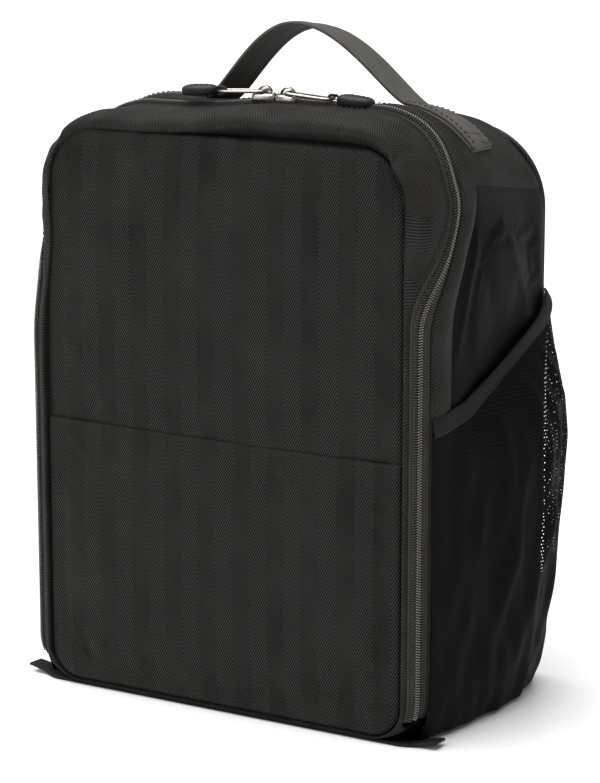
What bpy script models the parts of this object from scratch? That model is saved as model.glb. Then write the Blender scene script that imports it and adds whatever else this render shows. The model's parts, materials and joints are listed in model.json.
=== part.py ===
"""Padded carrying case: a soft box with a zip-round front lid, dividers, side pockets and a handle.

Metres, +Z up, front towards -Y. The origin is on the ground under the middle of the case.
The shell is described by two running values: a station along the case's rounded outline, as seen
from the front, and a run, the length over the surface from the front panel's edge to the back.
"""
import math

import bmesh
import bpy
from mathutils import Matrix, Vector

# ---- driving dimensions -------------------------------------------------------------------
HALF_WIDTH = 0.121          # side panels, from the middle of the case
HEIGHT = 0.320              # roof at its highest
FRONT_Y = -0.0715           # face of the front panel
BACK_Y = 0.0715             # face of the back panel
TOP_RADIUS = 0.052
FOOT_RADIUS = 0.026
ROOF_FALL_Y = -0.015        # the roof falls away behind this line
ROOF_FALL = 0.155           # metres down per metre back

EDGE_DROP = 0.013           # how far the front edge rolls in from sides and roof
EDGE_DEPTH = 0.0215         # front to back
EDGE_RUN = 0.0275           # over the surface
BACK_DROP = 0.006
BACK_DEPTH = 0.0115
BACK_RUN = 0.014
BASE_SHARE = 0.2            # the rolls are shallower along the base
TOP_CORNER_SHARE = 1.9      # the rolls tighten the top corners by this much
FOOT_CORNER_SHARE = 0.6

STRIP_THICK = 0.0015        # webbing strip under the front edge
STRIP_BACK_Y = -0.0503
STRIP_REACH = 0.0125        # how far each end sticks out past the side panel
STEP_BACK_Y = -0.046        # the base comes down to the ground behind the strip

SKIN = 0.0012               # outer fabric
FOAM = 0.0075
LINING = 0.0008
LAYER_GAP = 0.0006          # between skin, foam and lining
GAP = 0.0003                # between pieces that touch edge to edge
BORDER_THICK = 0.0025
LID_FOOT = 0.0070           # the lid's flat layers start above the rolled band's foot

ZIP_LOW_RUN = 0.0105        # the zip's line on the sides, low down
ZIP_SWEEP_START = 0.212     # it sweeps back from this height
ZIP_SWEEP_HEIGHT = 0.075
ZIP_SWEEP = 0.028
ZIP_CORNER_START = 0.285    # and again round the corner
ZIP_CORNER = 0.0135
ZIP_END_STATION = 24.5
TAPE_WIDTH = 0.007
TAPE_SLOT = 0.0006          # half the slot between the two tapes
TAPE_THICK = 0.0008
COIL_RADIUS = 0.0010
COIL_OFFSET = 0.0020        # each coil's middle from the zip's line

POCKET_SEAM_HEIGHT = 0.149  # mouth of the slip pocket on the front panel

DIVIDER = 0.008
TALL_DIVIDER_X = 0.047
DIVIDER_FRONT_Y = -0.050
SHORT_DIVIDER_FRONT_Y = -0.045
SHORT_DIVIDER_HEIGHTS = (0.110, 0.205)

SLIDERS_MEET_X = 0.0085     # the two sliders meet a little right of the middle
SLIDER_X = 0.0068           # each slider's middle from there
SLIDER_LENGTH = 0.013
SLIDER_WIDTH = 0.0086
PLATE = 0.001
PLATE_CLEARANCE = 0.0007    # above the coils
NECK_THICK = 0.0007
NECK_LENGTH = 0.003
CROWN_WIDTH = 0.003
CROWN_SPAN = 0.0085
CROWN_RISE = 0.0046
PULL_WIRE = 0.0009          # radius
PULL_LENGTH = 0.026         # between its end bars
PULL_WIDTH = 0.0085
CORD_RADIUS = 0.0008
GRIP_LENGTH = 0.021
GRIP_WIDTH = 0.0105
GRIP_HEIGHT = 0.0066

HANDLE_Y = 0.010            # middle of the strap
HANDLE_HALF = 0.0145        # half its width
HANDLE_THICK = 0.0022
HANDLE_ROOT_RIGHT = 0.072
HANDLE_ROOT_LEFT = -0.046
HANDLE_CROWN_X = 0.005
HANDLE_BEND = 1.4           # above 1 the arch flattens out towards its roots
HANDLE_TOP = 0.3575
HANDLE_AXIS_Z = 0.3335      # the strap leans about this line
HANDLE_END_RADIUS = 0.014
PATCH_TOP_STATION_RIGHT = 3.5   # each stitched end of the strap runs from its root
PATCH_TOP_STATION_LEFT = 2.0
PATCH_LOW_STATION = 7.8         # and round the corner to here
PATCH_THICK = 0.0018

POCKET_FRONT_Y = -0.057
POCKET_BACK_Y = 0.062
POCKET_FOOT = 0.0115
POCKET_MOUTH_FRONT = 0.165
POCKET_MOUTH_BACK = 0.206
POCKET_BULGE = 0.0135
POCKET_THICK = 0.0010
BINDING_HALF = 0.0045       # half the binding's height
BINDING_THICK = 0.0032

# ---- stations along the half outline, 0 in the middle of the roof --------------------------
ROOF_END = 3
CORNER_END = 11
SIDE_END = 23
FOOT_END = 28
BASE_MIDDLE = 29

ROLL_Y = FRONT_Y + EDGE_DEPTH
BACK_ROLL_Y = BACK_Y - BACK_DEPTH
STRAIGHT_END_RUN = EDGE_RUN + BACK_ROLL_Y - ROLL_Y
LAST_RUN = STRAIGHT_END_RUN + BACK_RUN
FOAM_DEPTH = SKIN + LAYER_GAP
LINING_DEPTH = FOAM_DEPTH + FOAM + LAYER_GAP
INNER_DEPTH = LINING_DEPTH + LINING


# ---- scene, materials and object helpers ---------------------------------------------------
def clear_scene():
    for obj in list(bpy.data.objects):
        bpy.data.objects.remove(obj, do_unlink=True)


def new_collection(name):
    collection = bpy.data.collections.new(name)
    bpy.context.scene.collection.children.link(collection)
    return collection


def make_material(name, colour, roughness, metallic=0.0):
    material = bpy.data.materials.new(name)
    material.use_nodes = True
    shader = material.node_tree.nodes["Principled BSDF"]
    shader.inputs["Base Color"].default_value = (*colour, 1.0)
    shader.inputs["Roughness"].default_value = roughness
    shader.inputs["Metallic"].default_value = metallic
    return material


def finish(obj, finish_name):
    """Put an object in the case's collection and give it a material of its own."""
    for owner in list(obj.users_collection):
        owner.objects.unlink(obj)
    PARTS.objects.link(obj)
    colour, roughness, metallic = FINISHES[finish_name]
    obj.data.materials.clear()
    obj.data.materials.append(make_material(obj.name, colour, roughness, metallic))
    return obj


def object_from(name, mesh, finish_name):
    obj = bpy.data.objects.new(name, mesh)
    return finish(obj, finish_name)


def mesh_from_bmesh(name, shape):
    bmesh.ops.recalc_face_normals(shape, faces=shape.faces)
    mesh = bpy.data.meshes.new(name)
    shape.to_mesh(mesh)
    shape.free()
    return mesh


def mesh_from_curve(curve_object):
    """Turn a curve object into a welded mesh object that takes its place."""
    graph = bpy.context.evaluated_depsgraph_get()
    mesh = bpy.data.meshes.new_from_object(curve_object.evaluated_get(graph))
    shape = bmesh.new()
    shape.from_mesh(mesh)
    bmesh.ops.remove_doubles(shape, verts=shape.verts, dist=0.00001)
    bmesh.ops.recalc_face_normals(shape, faces=shape.faces)
    shape.to_mesh(mesh)
    shape.free()
    obj = bpy.data.objects.new(curve_object.name + "_mesh", mesh)
    obj.matrix_world = curve_object.matrix_world
    bpy.data.objects.remove(curve_object, do_unlink=True)
    return obj


def set_origin(obj, point):
    """Move an object's origin without moving its shape."""
    shift = Vector(point) - obj.location
    obj.data.transform(Matrix.Translation(-shift))
    obj.location = Vector(point)
    return obj


def add_bevel(obj, width, segments=2):
    bevel = obj.modifiers.new("rounded_edges", "BEVEL")
    bevel.width = width
    bevel.segments = segments
    bevel.limit_method = "ANGLE"
    bevel.angle_limit = math.radians(40)
    return obj


def add_solidify(obj, thickness, offset=-1.0):
    """Give a sheet its thickness: inwards of the sheet by default, outwards with offset 1."""
    solid = obj.modifiers.new("thickness", "SOLIDIFY")
    solid.thickness = thickness
    solid.offset = offset
    solid.use_even_offset = True
    return obj


def box(name, low, high, finish_name, bevel=0.0):
    bpy.ops.mesh.primitive_cube_add(size=1.0, location=(0.0, 0.0, 0.0))
    obj = bpy.context.active_object
    obj.name = name
    low = Vector(low)
    high = Vector(high)
    size = high - low
    obj.data.transform(Matrix.Diagonal((*size, 1.0)))
    obj.location = (low + high) / 2
    finish(obj, finish_name)
    if bevel:
        add_bevel(obj, bevel)
    return obj


def extruded(name, outline, axis, low, high, finish_name):
    """A flat outline pushed along X or Y from low to high; outline holds the other two values."""
    shape = bmesh.new()
    if axis == "X":
        corners = [shape.verts.new((low, a, b)) for a, b in outline]
    else:
        corners = [shape.verts.new((a, low, b)) for a, b in outline]
    face = shape.faces.new(corners)
    grown = bmesh.ops.extrude_face_region(shape, geom=[face])
    moved = [item for item in grown["geom"] if isinstance(item, bmesh.types.BMVert)]
    travel = Vector((high - low, 0, 0)) if axis == "X" else Vector((0, high - low, 0))
    bmesh.ops.translate(shape, verts=moved, vec=travel)
    return object_from(name, mesh_from_bmesh(name, shape), finish_name)


def poly_curve(name, points, radius, closed=False, resolution=2):
    data = bpy.data.curves.new(name, "CURVE")
    data.dimensions = "3D"
    data.bevel_depth = radius
    data.bevel_resolution = resolution
    data.use_fill_caps = True
    spline = data.splines.new("POLY")
    spline.points.add(len(points) - 1)
    for slot, point in zip(spline.points, points):
        slot.co = (*point, 1.0)
    spline.use_cyclic_u = closed
    obj = bpy.data.objects.new(name, data)
    PARTS.objects.link(obj)
    return obj


def union(target, other):
    """Join another object into the target with a Boolean; the other becomes a hidden cutter."""
    joined = target.modifiers.new("join_" + other.name, "BOOLEAN")
    joined.operation = "UNION"
    joined.solver = "EXACT"
    joined.object = other
    for owner in list(other.users_collection):
        owner.objects.unlink(other)
    CUTTERS.objects.link(other)
    other.hide_render = True
    other.display_type = "WIRE"


# ---- the shell's surface --------------------------------------------------------------------
def smooth(value):
    value = min(1.0, max(0.0, value))
    return value * value * (3 - 2 * value)


def profile(run):
    """Depth position and edge drop for a length over the surface from the front panel's edge."""
    if run < EDGE_RUN:
        angle = math.pi / 2 * (1 - run / EDGE_RUN)
        return ROLL_Y - EDGE_DEPTH * math.sin(angle), EDGE_DROP * (1 - math.cos(angle))
    if run < STRAIGHT_END_RUN:
        return ROLL_Y + run - EDGE_RUN, 0.0
    angle = math.pi / 2 * (run - STRAIGHT_END_RUN) / BACK_RUN
    return BACK_ROLL_Y + BACK_DEPTH * math.sin(angle), BACK_DROP * (1 - math.cos(angle))


def run_at(y):
    """Run of a depth position on the straight stretch of the shell."""
    return EDGE_RUN + y - ROLL_Y


def roof_height(y):
    return HEIGHT - ROOF_FALL * max(0.0, y - ROOF_FALL_Y)


def base_height(y):
    lifted = STRIP_THICK + GAP
    if y <= STRIP_BACK_Y:
        return lifted
    return lifted * max(0.0, (STEP_BACK_Y - y) / (STEP_BACK_Y - STRIP_BACK_Y))


def outline_point(station, y, drop, depth):
    """Place across and up on the rounded outline at one depth position, depth inside the skin."""
    half = HALF_WIDTH - drop - depth
    top = roof_height(y) - drop - depth
    low = base_height(y) + drop * BASE_SHARE + depth
    corner = TOP_RADIUS - drop * TOP_CORNER_SHARE - depth
    foot = FOOT_RADIUS - drop * FOOT_CORNER_SHARE - depth
    side = 1 if station >= 0 else -1
    place = abs(station)
    if place <= ROOF_END:
        x = (half - corner) * place / ROOF_END
        z = top
    elif place <= CORNER_END:
        angle = math.pi / 2 * (CORNER_END - place) / (CORNER_END - ROOF_END)
        x = half - corner + corner * math.cos(angle)
        z = top - corner + corner * math.sin(angle)
    elif place <= SIDE_END:
        share = (place - CORNER_END) / (SIDE_END - CORNER_END)
        x = half
        z = (top - corner) * (1 - share) + (low + foot) * share
    elif place <= FOOT_END:
        angle = math.pi / 2 * (place - SIDE_END) / (FOOT_END - SIDE_END)
        x = half - foot + foot * math.cos(angle)
        z = low + foot - foot * math.sin(angle)
    else:
        x = (half - foot) * (BASE_MIDDLE - place)
        z = low
    return side * x, z


def surface_point(station, run, depth=0.0):
    y, drop = profile(run)
    x, z = outline_point(station, y, drop, depth)
    return Vector((x, y, z))


def surface_normal(station, run):
    step = 0.01
    along = surface_point(station + step, run) - surface_point(station - step, run)
    back = surface_point(station, run + 0.0005) - surface_point(station, run - 0.0005)
    return along.cross(back).normalized()


def zip_run(station):
    """Run of the zip's line: close to the front on the sides, swept back over the top."""
    height = outline_point(station, ROLL_Y, 0.0, 0.0)[1]
    sweep = ZIP_SWEEP * smooth((height - ZIP_SWEEP_START) / ZIP_SWEEP_HEIGHT)
    corner = ZIP_CORNER * smooth((height - ZIP_CORNER_START) / (HEIGHT - ZIP_CORNER_START))
    return ZIP_LOW_RUN + sweep + corner


def stations_between(first, last):
    """Whole stations between two ends, with the ends themselves."""
    inner = [s for s in range(-BASE_MIDDLE, BASE_MIDDLE + 1) if first < s < last]
    return [first, *inner, last]


def sheet(name, rows, thickness, finish_name, closed=False, offset=-1.0):
    """Rows of points lofted into a sheet, a closed ring if asked, and made solid."""
    shape = bmesh.new()
    corners = [[shape.verts.new(point) for point in row] for row in rows]
    following = corners[1:] + corners[:1] if closed else corners[1:]
    for row, after in zip(corners, following):
        for i in range(len(row) - 1):
            shape.faces.new((row[i], after[i], after[i + 1], row[i + 1]))
    mesh = bpy.data.meshes.new(name)
    shape.to_mesh(mesh)
    shape.free()
    return add_solidify(object_from(name, mesh, finish_name), thickness, offset)


def shell(name, stations, front_run, back_run, rings, depth, thickness, finish_name):
    """A sheet over the shell's surface, with the given depth inside the skin."""
    rows = []
    for station in stations:
        start = front_run(station)
        end = back_run(station)
        runs = [start + (end - start) * share for share in rings]
        rows.append([surface_point(station, run, depth) for run in runs])
    return sheet(name, rows, thickness, finish_name)


def flat_outline(y, drop, depth, low=0.0, high=1.0):
    """The closed outline at one depth position, cut off below and above two heights."""
    points = []
    for station in range(-BASE_MIDDLE, BASE_MIDDLE):
        x, z = outline_point(station, y, drop, depth)
        point = (x, min(high, max(low, z)))
        if not points or (Vector(point) - Vector(points[-1])).length > 0.00005:
            points.append(point)
    return points


# ---- case body ------------------------------------------------------------------------------
BOARD_TRIM = 0.16           # the foam and lining boards stop short of the corner pieces
WALL_RINGS = (0.0, 0.035, 0.07, 0.12, 0.3, 0.5, 0.7, 0.86, 0.9, 0.94, 0.97, 1.0)
INNER_RINGS = (0.0, 0.04, 0.08, 0.14, 0.4, 0.7, 1.0)
BASE_RINGS = (0.0, 0.074, 0.105, 0.4, 0.7, 0.88, 0.92, 0.96, 1.0)


def behind_zip(distance):
    return lambda station: zip_run(station) + distance


def before_zip(distance):
    return lambda station: zip_run(station) - distance


def constant(run):
    return lambda station: run


def side_stations(side, trim):
    """Stations down a side panel, trimmed at both ends where it meets the next panel."""
    first, last = CORNER_END + trim, SIDE_END - trim
    return stations_between(first, last) if side > 0 else stations_between(-last, -first)


def base_stations():
    """From the right foot corner under the base to the left foot corner."""
    right = stations_between(SIDE_END + 0.02, BASE_MIDDLE)
    return right + [-station for station in reversed(right[:-1])]


def make_walls():
    """Outer fabric, foam and lining of the sides, roof, base and back."""
    skin_front = behind_zip(TAPE_WIDTH + GAP)
    inner_front = behind_zip(TAPE_WIDTH + 6 * GAP)
    skin_back = constant(LAST_RUN - GAP)
    foam_back = constant(run_at(0.0592))
    lining_back = constant(run_at(0.0580))
    roof = stations_between(-CORNER_END + 0.02, CORNER_END - 0.02)
    for side, word in ((1, "right"), (-1, "left")):
        path = side_stations(side, 0.02)
        shell("side_panel_" + word, path, skin_front, skin_back, WALL_RINGS, 0.0, SKIN, "shell")
        path = side_stations(side, BOARD_TRIM)
        shell("side_foam_" + word, path, inner_front, foam_back, INNER_RINGS,
              FOAM_DEPTH, FOAM, "foam")
        shell("side_lining_" + word, path, inner_front, lining_back, INNER_RINGS,
              LINING_DEPTH, LINING, "lining")
    shell("top_panel", roof, skin_front, skin_back, WALL_RINGS, 0.0, SKIN, "shell")
    shell("top_foam", roof, inner_front, foam_back, INNER_RINGS, FOAM_DEPTH, FOAM, "foam")
    shell("top_lining", roof, inner_front, lining_back, INNER_RINGS,
          LINING_DEPTH, LINING, "lining")
    base = base_stations()
    shell("bottom_panel", base, skin_front, skin_back, BASE_RINGS, 0.0, SKIN, "shell")
    base_front = constant(run_at(STEP_BACK_Y + 0.001))
    shell("bottom_foam", base, base_front, foam_back, (0.0, 0.5, 1.0), FOAM_DEPTH, FOAM, "foam")
    shell("bottom_lining", base, base_front, lining_back, (0.0, 0.5, 1.0),
          LINING_DEPTH, LINING, "lining")


def make_back():
    face = flat_outline(BACK_Y, BACK_DROP, SKIN + GAP)
    extruded("back_panel", face, "Y", BACK_Y - SKIN, BACK_Y, "shell")
    board_front = BACK_Y - SKIN - LAYER_GAP - FOAM
    board = flat_outline(BACK_Y, BACK_DROP, SKIN + 3 * LAYER_GAP)
    extruded("back_foam", board, "Y", board_front, board_front + FOAM, "foam")
    lining = flat_outline(BACK_ROLL_Y, 0.0, INNER_DEPTH + GAP)
    lining_front = board_front - LAYER_GAP - LINING
    extruded("back_lining", lining, "Y", lining_front, lining_front + LINING, "lining")


def make_hinge_strip():
    """Webbing under the front edge: the lid folds along it, and its ends show at the corners."""
    reach = HALF_WIDTH + STRIP_REACH
    box("hinge_strip", (-reach, FRONT_Y + 0.0015, 0.0), (reach, STRIP_BACK_Y, STRIP_THICK),
        "webbing")


# ---- zip ------------------------------------------------------------------------------------
def coil_points(offset):
    lift = COIL_RADIUS + GAP
    points = []
    for station in stations_between(-ZIP_END_STATION, ZIP_END_STATION):
        run = zip_run(station) + offset
        points.append(surface_point(station, run) + lift * surface_normal(station, run))
    return points


def make_zip():
    path = stations_between(-ZIP_END_STATION, ZIP_END_STATION)
    rings = (0.0, 0.5, 1.0)
    shell("zip_tape_lid", path, before_zip(TAPE_WIDTH), before_zip(TAPE_SLOT), rings,
          0.0, TAPE_THICK, "webbing")
    shell("zip_tape_case", path, behind_zip(TAPE_SLOT), behind_zip(TAPE_WIDTH), rings,
          0.0, TAPE_THICK, "webbing")
    for name, offset in (("zip_coil_lid", -COIL_OFFSET), ("zip_coil_case", COIL_OFFSET)):
        coil = mesh_from_curve(poly_curve(name + "_path", coil_points(offset), COIL_RADIUS))
        coil.name = name
        finish(coil, "coil")


def slider_centre(side):
    y = profile(zip_run(0))[0]
    return Vector((SLIDERS_MEET_X + side * SLIDER_X, y, HEIGHT))


def make_slider(side, word):
    """Two plates joined by a neck between the coils, with an arch that carries the pull."""
    middle = slider_centre(side)
    half = Vector((SLIDER_LENGTH / 2, SLIDER_WIDTH / 2, 0.0))
    coil_top = 2 * COIL_RADIUS + GAP
    plate_low = coil_top + PLATE_CLEARANCE
    under_top = -TAPE_THICK - 0.0008
    name = "zip_slider_" + word
    top = box(name, middle - half + Vector((0, 0, plate_low)),
              middle + half + Vector((0, 0, plate_low + PLATE)), "nickel")
    under_half = Vector((half.x, SLIDER_WIDTH / 2, 0))
    under = box("slider_under_" + word, middle - under_half + Vector((0, 0, under_top - PLATE)),
                middle + under_half + Vector((0, 0, under_top)), "nickel")
    neck_half = Vector((NECK_LENGTH / 2, NECK_THICK / 2, 0))
    neck_place = middle - Vector((side * (half.x - NECK_LENGTH), 0, 0))
    neck = box("slider_neck_" + word, neck_place - neck_half + Vector((0, 0, under_top - PLATE / 2)),
               neck_place + neck_half + Vector((0, 0, plate_low + PLATE / 2)), "nickel")
    arch = make_slider_arch(middle + Vector((0, 0, plate_low + PLATE)), word)
    for piece in (under, neck, arch):
        union(top, piece)
    return set_origin(top, middle)


def make_slider_arch(foot, word):
    steps = 10
    outer = []
    inner = []
    sink = 0.0004
    for i in range(steps + 1):
        angle = math.pi * i / steps
        for ring, less in ((outer, 0.0), (inner, 0.0011)):
            x = foot.x + (CROWN_SPAN / 2 - less) * math.cos(angle)
            z = foot.z + (CROWN_RISE - less) * math.sin(angle)
            ring.append((x, z))
    outline = [(outer[0][0], foot.z - sink), *outer, (outer[-1][0], foot.z - sink),
               (inner[-1][0], foot.z - sink), *reversed(inner), (inner[0][0], foot.z - sink)]
    return extruded("slider_arch_" + word, outline, "Y",
                    foot.y - CROWN_WIDTH / 2, foot.y + CROWN_WIDTH / 2, "nickel")


def pull_bar_place(side):
    """Middle of the pull's inner end bar, under the slider's arch."""
    middle = slider_centre(side)
    plate_top = 2 * COIL_RADIUS + GAP + PLATE_CLEARANCE + PLATE
    return middle + Vector((0, 0, plate_top + GAP + PULL_WIRE))


def make_pull(side, word):
    """An oblong wire frame lying flat, pointing away from the middle."""
    bar = pull_bar_place(side)
    corner = 0.002
    half = PULL_WIDTH / 2
    points = []
    corners = ((0, -half), (PULL_LENGTH, -half), (PULL_LENGTH, half), (0, half))
    turns = (180, 270, 0, 90)
    for (x, y), turn in zip(corners, turns):
        centre_x = x + corner if x == 0 else x - corner
        centre_y = y + corner if y < 0 else y - corner
        for k in range(4):
            angle = math.radians(turn + 30 * k)
            points.append((centre_x + corner * math.cos(angle), centre_y + corner * math.sin(angle)))
    path = [bar + Vector((side * x, y, 0)) for x, y in points]
    curve = poly_curve("pull_path_" + word, path, PULL_WIRE, closed=True)
    pull = mesh_from_curve(curve)
    pull.name = "zip_pull_" + word
    finish(pull, "nickel")
    return set_origin(pull, bar)


def make_cord_and_grip(side, word):
    """A cord loop round the pull's outer bar, and the moulded grip that it holds."""
    hinge = pull_bar_place(side) + Vector((side * PULL_LENGTH, 0, 0))
    turn = PULL_WIRE + GAP + CORD_RADIUS
    reach = 0.0032
    points = [hinge + Vector((side * reach, 0, -turn))]
    steps = 8
    for i in range(steps + 1):
        angle = -math.pi / 2 - math.pi * i / steps
        points.append(hinge + Vector((side * turn * math.cos(angle), 0, turn * math.sin(angle))))
    points.append(hinge + Vector((side * reach, 0, turn)))
    cord = mesh_from_curve(poly_curve("cord_path_" + word, points, CORD_RADIUS))
    cord.name = "pull_cord_" + word
    finish(cord, "webbing")
    set_origin(cord, hinge)
    bpy.ops.mesh.primitive_cube_add(size=1.0)
    grip = bpy.context.active_object
    grip.name = "pull_grip_" + word
    low = hinge.z - turn - CORD_RADIUS
    grip.data.transform(Matrix.Diagonal((GRIP_LENGTH, GRIP_WIDTH, GRIP_HEIGHT, 1.0)))
    start = reach + GAP
    grip.location = (hinge.x + side * (start + GRIP_LENGTH / 2), hinge.y, low + GRIP_HEIGHT / 2)
    finish(grip, "rubber")
    add_bevel(grip, 0.0028, 3)
    bpy.context.view_layer.update()
    set_origin(grip, hinge)


# ---- lid ------------------------------------------------------------------------------------
def make_lid():
    edge = 2 * GAP
    face = FRONT_Y + 0.001
    upper = flat_outline(FRONT_Y, EDGE_DROP, edge, low=POCKET_SEAM_HEIGHT + GAP)
    lower = flat_outline(FRONT_Y, EDGE_DROP, edge, low=LID_FOOT, high=POCKET_SEAM_HEIGHT)
    whole = flat_outline(FRONT_Y, EDGE_DROP, 0.0015, low=LID_FOOT)
    extruded("front_panel_upper", upper, "Y", FRONT_Y, face, "twill")
    extruded("front_pocket_panel", lower, "Y", FRONT_Y, face, "twill")
    extruded("front_pocket_back", whole, "Y", face + GAP, face + GAP + LINING, "lining")
    foam_front = face + 2 * GAP + LINING
    foam = flat_outline(FRONT_Y, EDGE_DROP, 0.003, low=LID_FOOT)
    extruded("lid_foam", foam, "Y", foam_front, foam_front + FOAM, "foam")
    lining_front = foam_front + FOAM + GAP
    extruded("lid_lining", foam, "Y", lining_front, lining_front + LINING, "lining")
    make_lid_border()


def make_lid_border():
    """The rolled band round the front panel, out to the zip's tape, as one closed ring."""
    rings = (0.0, 0.12, 0.25, 0.4, 0.55, 0.7, 0.85, 1.0)
    rows = []
    for station in range(-BASE_MIDDLE, BASE_MIDDLE):
        end = zip_run(station) - TAPE_WIDTH - 2 * GAP
        rows.append([surface_point(station, end * share) for share in rings])
    sheet("lid_border", rows, BORDER_THICK, "twill", closed=True)


# ---- dividers -------------------------------------------------------------------------------
def make_dividers():
    floor = INNER_DEPTH + GAP
    back = BACK_Y - SKIN - LAYER_GAP - FOAM - LAYER_GAP - LINING - GAP
    for side, word in ((1, "right"), (-1, "left")):
        inner = side * TALL_DIVIDER_X - DIVIDER / 2
        ceiling = [(y, roof_height(y) - INNER_DEPTH - 2 * GAP)
                   for y in (back, ROOF_FALL_Y, DIVIDER_FRONT_Y)]
        outline = [(DIVIDER_FRONT_Y, floor), (back, floor), *ceiling]
        extruded("divider_tall_" + word, outline, "X", inner, inner + DIVIDER, "lining")
        near = TALL_DIVIDER_X + DIVIDER / 2 + GAP
        far = HALF_WIDTH - INNER_DEPTH - 2 * GAP
        for level, height in zip(("lower", "upper"), SHORT_DIVIDER_HEIGHTS):
            ends = sorted((side * near, side * far))
            box(f"divider_short_{level}_{word}",
                (ends[0], SHORT_DIVIDER_FRONT_Y, height - DIVIDER / 2),
                (ends[1], back, height + DIVIDER / 2), "lining", bevel=0.0015)


# ---- handle ---------------------------------------------------------------------------------
def strap_foot_height():
    """Lowest point of the arch, just clear of the roof in front of the strap."""
    return HANDLE_AXIS_Z - HANDLE_END_RADIUS


def strap_centre(share):
    """A point on the strap's arch, share 0 at the left root, 1 at the right one."""
    foot = strap_foot_height()
    if share < 0.5:
        reach = HANDLE_CROWN_X - HANDLE_ROOT_LEFT
        angle = math.pi / 2 * (1 - 2 * share)
        x = HANDLE_CROWN_X - reach * math.sin(angle)
    else:
        reach = HANDLE_ROOT_RIGHT - HANDLE_CROWN_X
        angle = math.pi / 2 * (2 * share - 1)
        x = HANDLE_CROWN_X + reach * math.sin(angle)
    across = (x - HANDLE_CROWN_X) / reach
    rise = HANDLE_TOP - HANDLE_THICK - foot
    return x, foot + rise * max(0.0, 1 - across * across) ** HANDLE_BEND


def strap_half_width(height):
    below = HANDLE_AXIS_Z - height
    if below <= 0:
        return HANDLE_HALF
    return max(0.004, math.sqrt(max(0.0, HANDLE_HALF ** 2 - below ** 2)))


def make_handle():
    """The carrying strap: flat webbing in an arch, its ends narrowed where it leans."""
    steps = 28
    rows = []
    for i in range(steps + 1):
        x, z = strap_centre(i / steps)
        half = strap_half_width(z)
        rows.append([Vector((x, HANDLE_Y + half * k, z)) for k in (-1, 0, 1)])
    strap = sheet("handle_strap", rows, HANDLE_THICK, "webbing", offset=1.0)
    set_origin(strap, (0, HANDLE_Y, HANDLE_AXIS_Z))


def make_handle_patches():
    """The strap's two ends, stitched flat down over the top corners."""
    for word, first, last in (("right", PATCH_TOP_STATION_RIGHT, PATCH_LOW_STATION),
                              ("left", -PATCH_LOW_STATION, -PATCH_TOP_STATION_LEFT)):
        path = stations_between(first, last)
        shell("handle_patch_" + word, path, constant(run_at(HANDLE_Y - HANDLE_HALF)),
              constant(run_at(HANDLE_Y + HANDLE_HALF)), (0.0, 0.5, 1.0),
              -PATCH_THICK - GAP, PATCH_THICK, "webbing")


# ---- side pockets ---------------------------------------------------------------------------
def mouth_height(share):
    """Height of the pocket's slanting mouth, share 0 at the front seam, 1 at the back."""
    return POCKET_MOUTH_FRONT + (POCKET_MOUTH_BACK - POCKET_MOUTH_FRONT) * share ** 1.5


def pocket_bulge(across, up):
    """How far the pocket stands off the side panel."""
    return POCKET_BULGE * math.sin(math.pi * across) ** 0.75 * math.sin(math.pi * 0.62 * up) ** 0.8


def side_half_width(height):
    """Half width of the case at a height, narrower round the foot."""
    below = max(0.0, FOOT_RADIUS - height)
    return HALF_WIDTH - FOOT_RADIUS + math.sqrt(FOOT_RADIUS ** 2 - below ** 2)


def pocket_point(side, across, up):
    y = POCKET_FRONT_Y + (POCKET_BACK_Y - POCKET_FRONT_Y) * across
    z = POCKET_FOOT + (mouth_height(across) - POCKET_FOOT) * up
    x = side_half_width(z) + 2 * GAP + POCKET_THICK + pocket_bulge(across, up)
    return Vector((side * x, y, z))


def make_side_pocket(side, word):
    """Gathered mesh sewn to the side panel along its front, back and foot, open at the top."""
    columns = 12
    rows_up = 9
    top_share = 0.955
    rows = []
    for j in range(rows_up + 1):
        up = top_share * (j / rows_up) ** 1.4
        across = [i / columns for i in range(columns + 1)]
        row = [pocket_point(side, share, up) for share in across]
        rows.append(row)
    if side > 0:
        rows.reverse()
    sheet("side_pocket_" + word, rows, POCKET_THICK, "mesh")


def make_pocket_binding(side, word):
    """Folded tape along the pocket's mouth."""
    columns = 12
    shape = bmesh.new()
    rows = []
    for i in range(columns + 1):
        across = i / columns
        edge = pocket_point(side, across, 1.0)
        inner = side * (POCKET_THICK / 2 - BINDING_THICK / 2 - POCKET_THICK)
        outer = inner + side * BINDING_THICK
        if across in (0, 1):
            inner = side * -POCKET_THICK
            outer = side * (BINDING_THICK - POCKET_THICK)
        low = edge.z - 0.0030
        high = low + 2 * BINDING_HALF
        reach = max(0.0, inner * side + edge.x * side - HALF_WIDTH - GAP)
        inner_x = side * (HALF_WIDTH + GAP + reach)
        outer_x = edge.x + outer
        rows.append([shape.verts.new(point) for point in (
            (inner_x, edge.y, low), (outer_x, edge.y, low),
            (outer_x, edge.y, high), (inner_x, edge.y, high))])
    for row, following in zip(rows, rows[1:]):
        for i in range(4):
            k = (i + 1) % 4
            shape.faces.new((row[i], following[i], following[k], row[k]))
    shape.faces.new(rows[0])
    shape.faces.new(rows[-1])
    return object_from("pocket_binding_" + word, mesh_from_bmesh("binding_" + word, shape), "webbing")


# ---- build ----------------------------------------------------------------------------------
FINISHES = {
    "shell": ((0.012, 0.012, 0.013), 0.75, 0.0),
    "twill": ((0.020, 0.019, 0.018), 0.60, 0.0),
    "foam": ((0.10, 0.10, 0.10), 0.90, 0.0),
    "lining": ((0.16, 0.16, 0.17), 0.95, 0.0),
    "webbing": ((0.022, 0.019, 0.017), 0.70, 0.0),
    "coil": ((0.05, 0.05, 0.05), 0.35, 0.0),
    "nickel": ((0.62, 0.60, 0.58), 0.22, 1.0),
    "rubber": ((0.018, 0.018, 0.018), 0.50, 0.0),
    "mesh": ((0.010, 0.010, 0.011), 0.80, 0.0),
}

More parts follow.
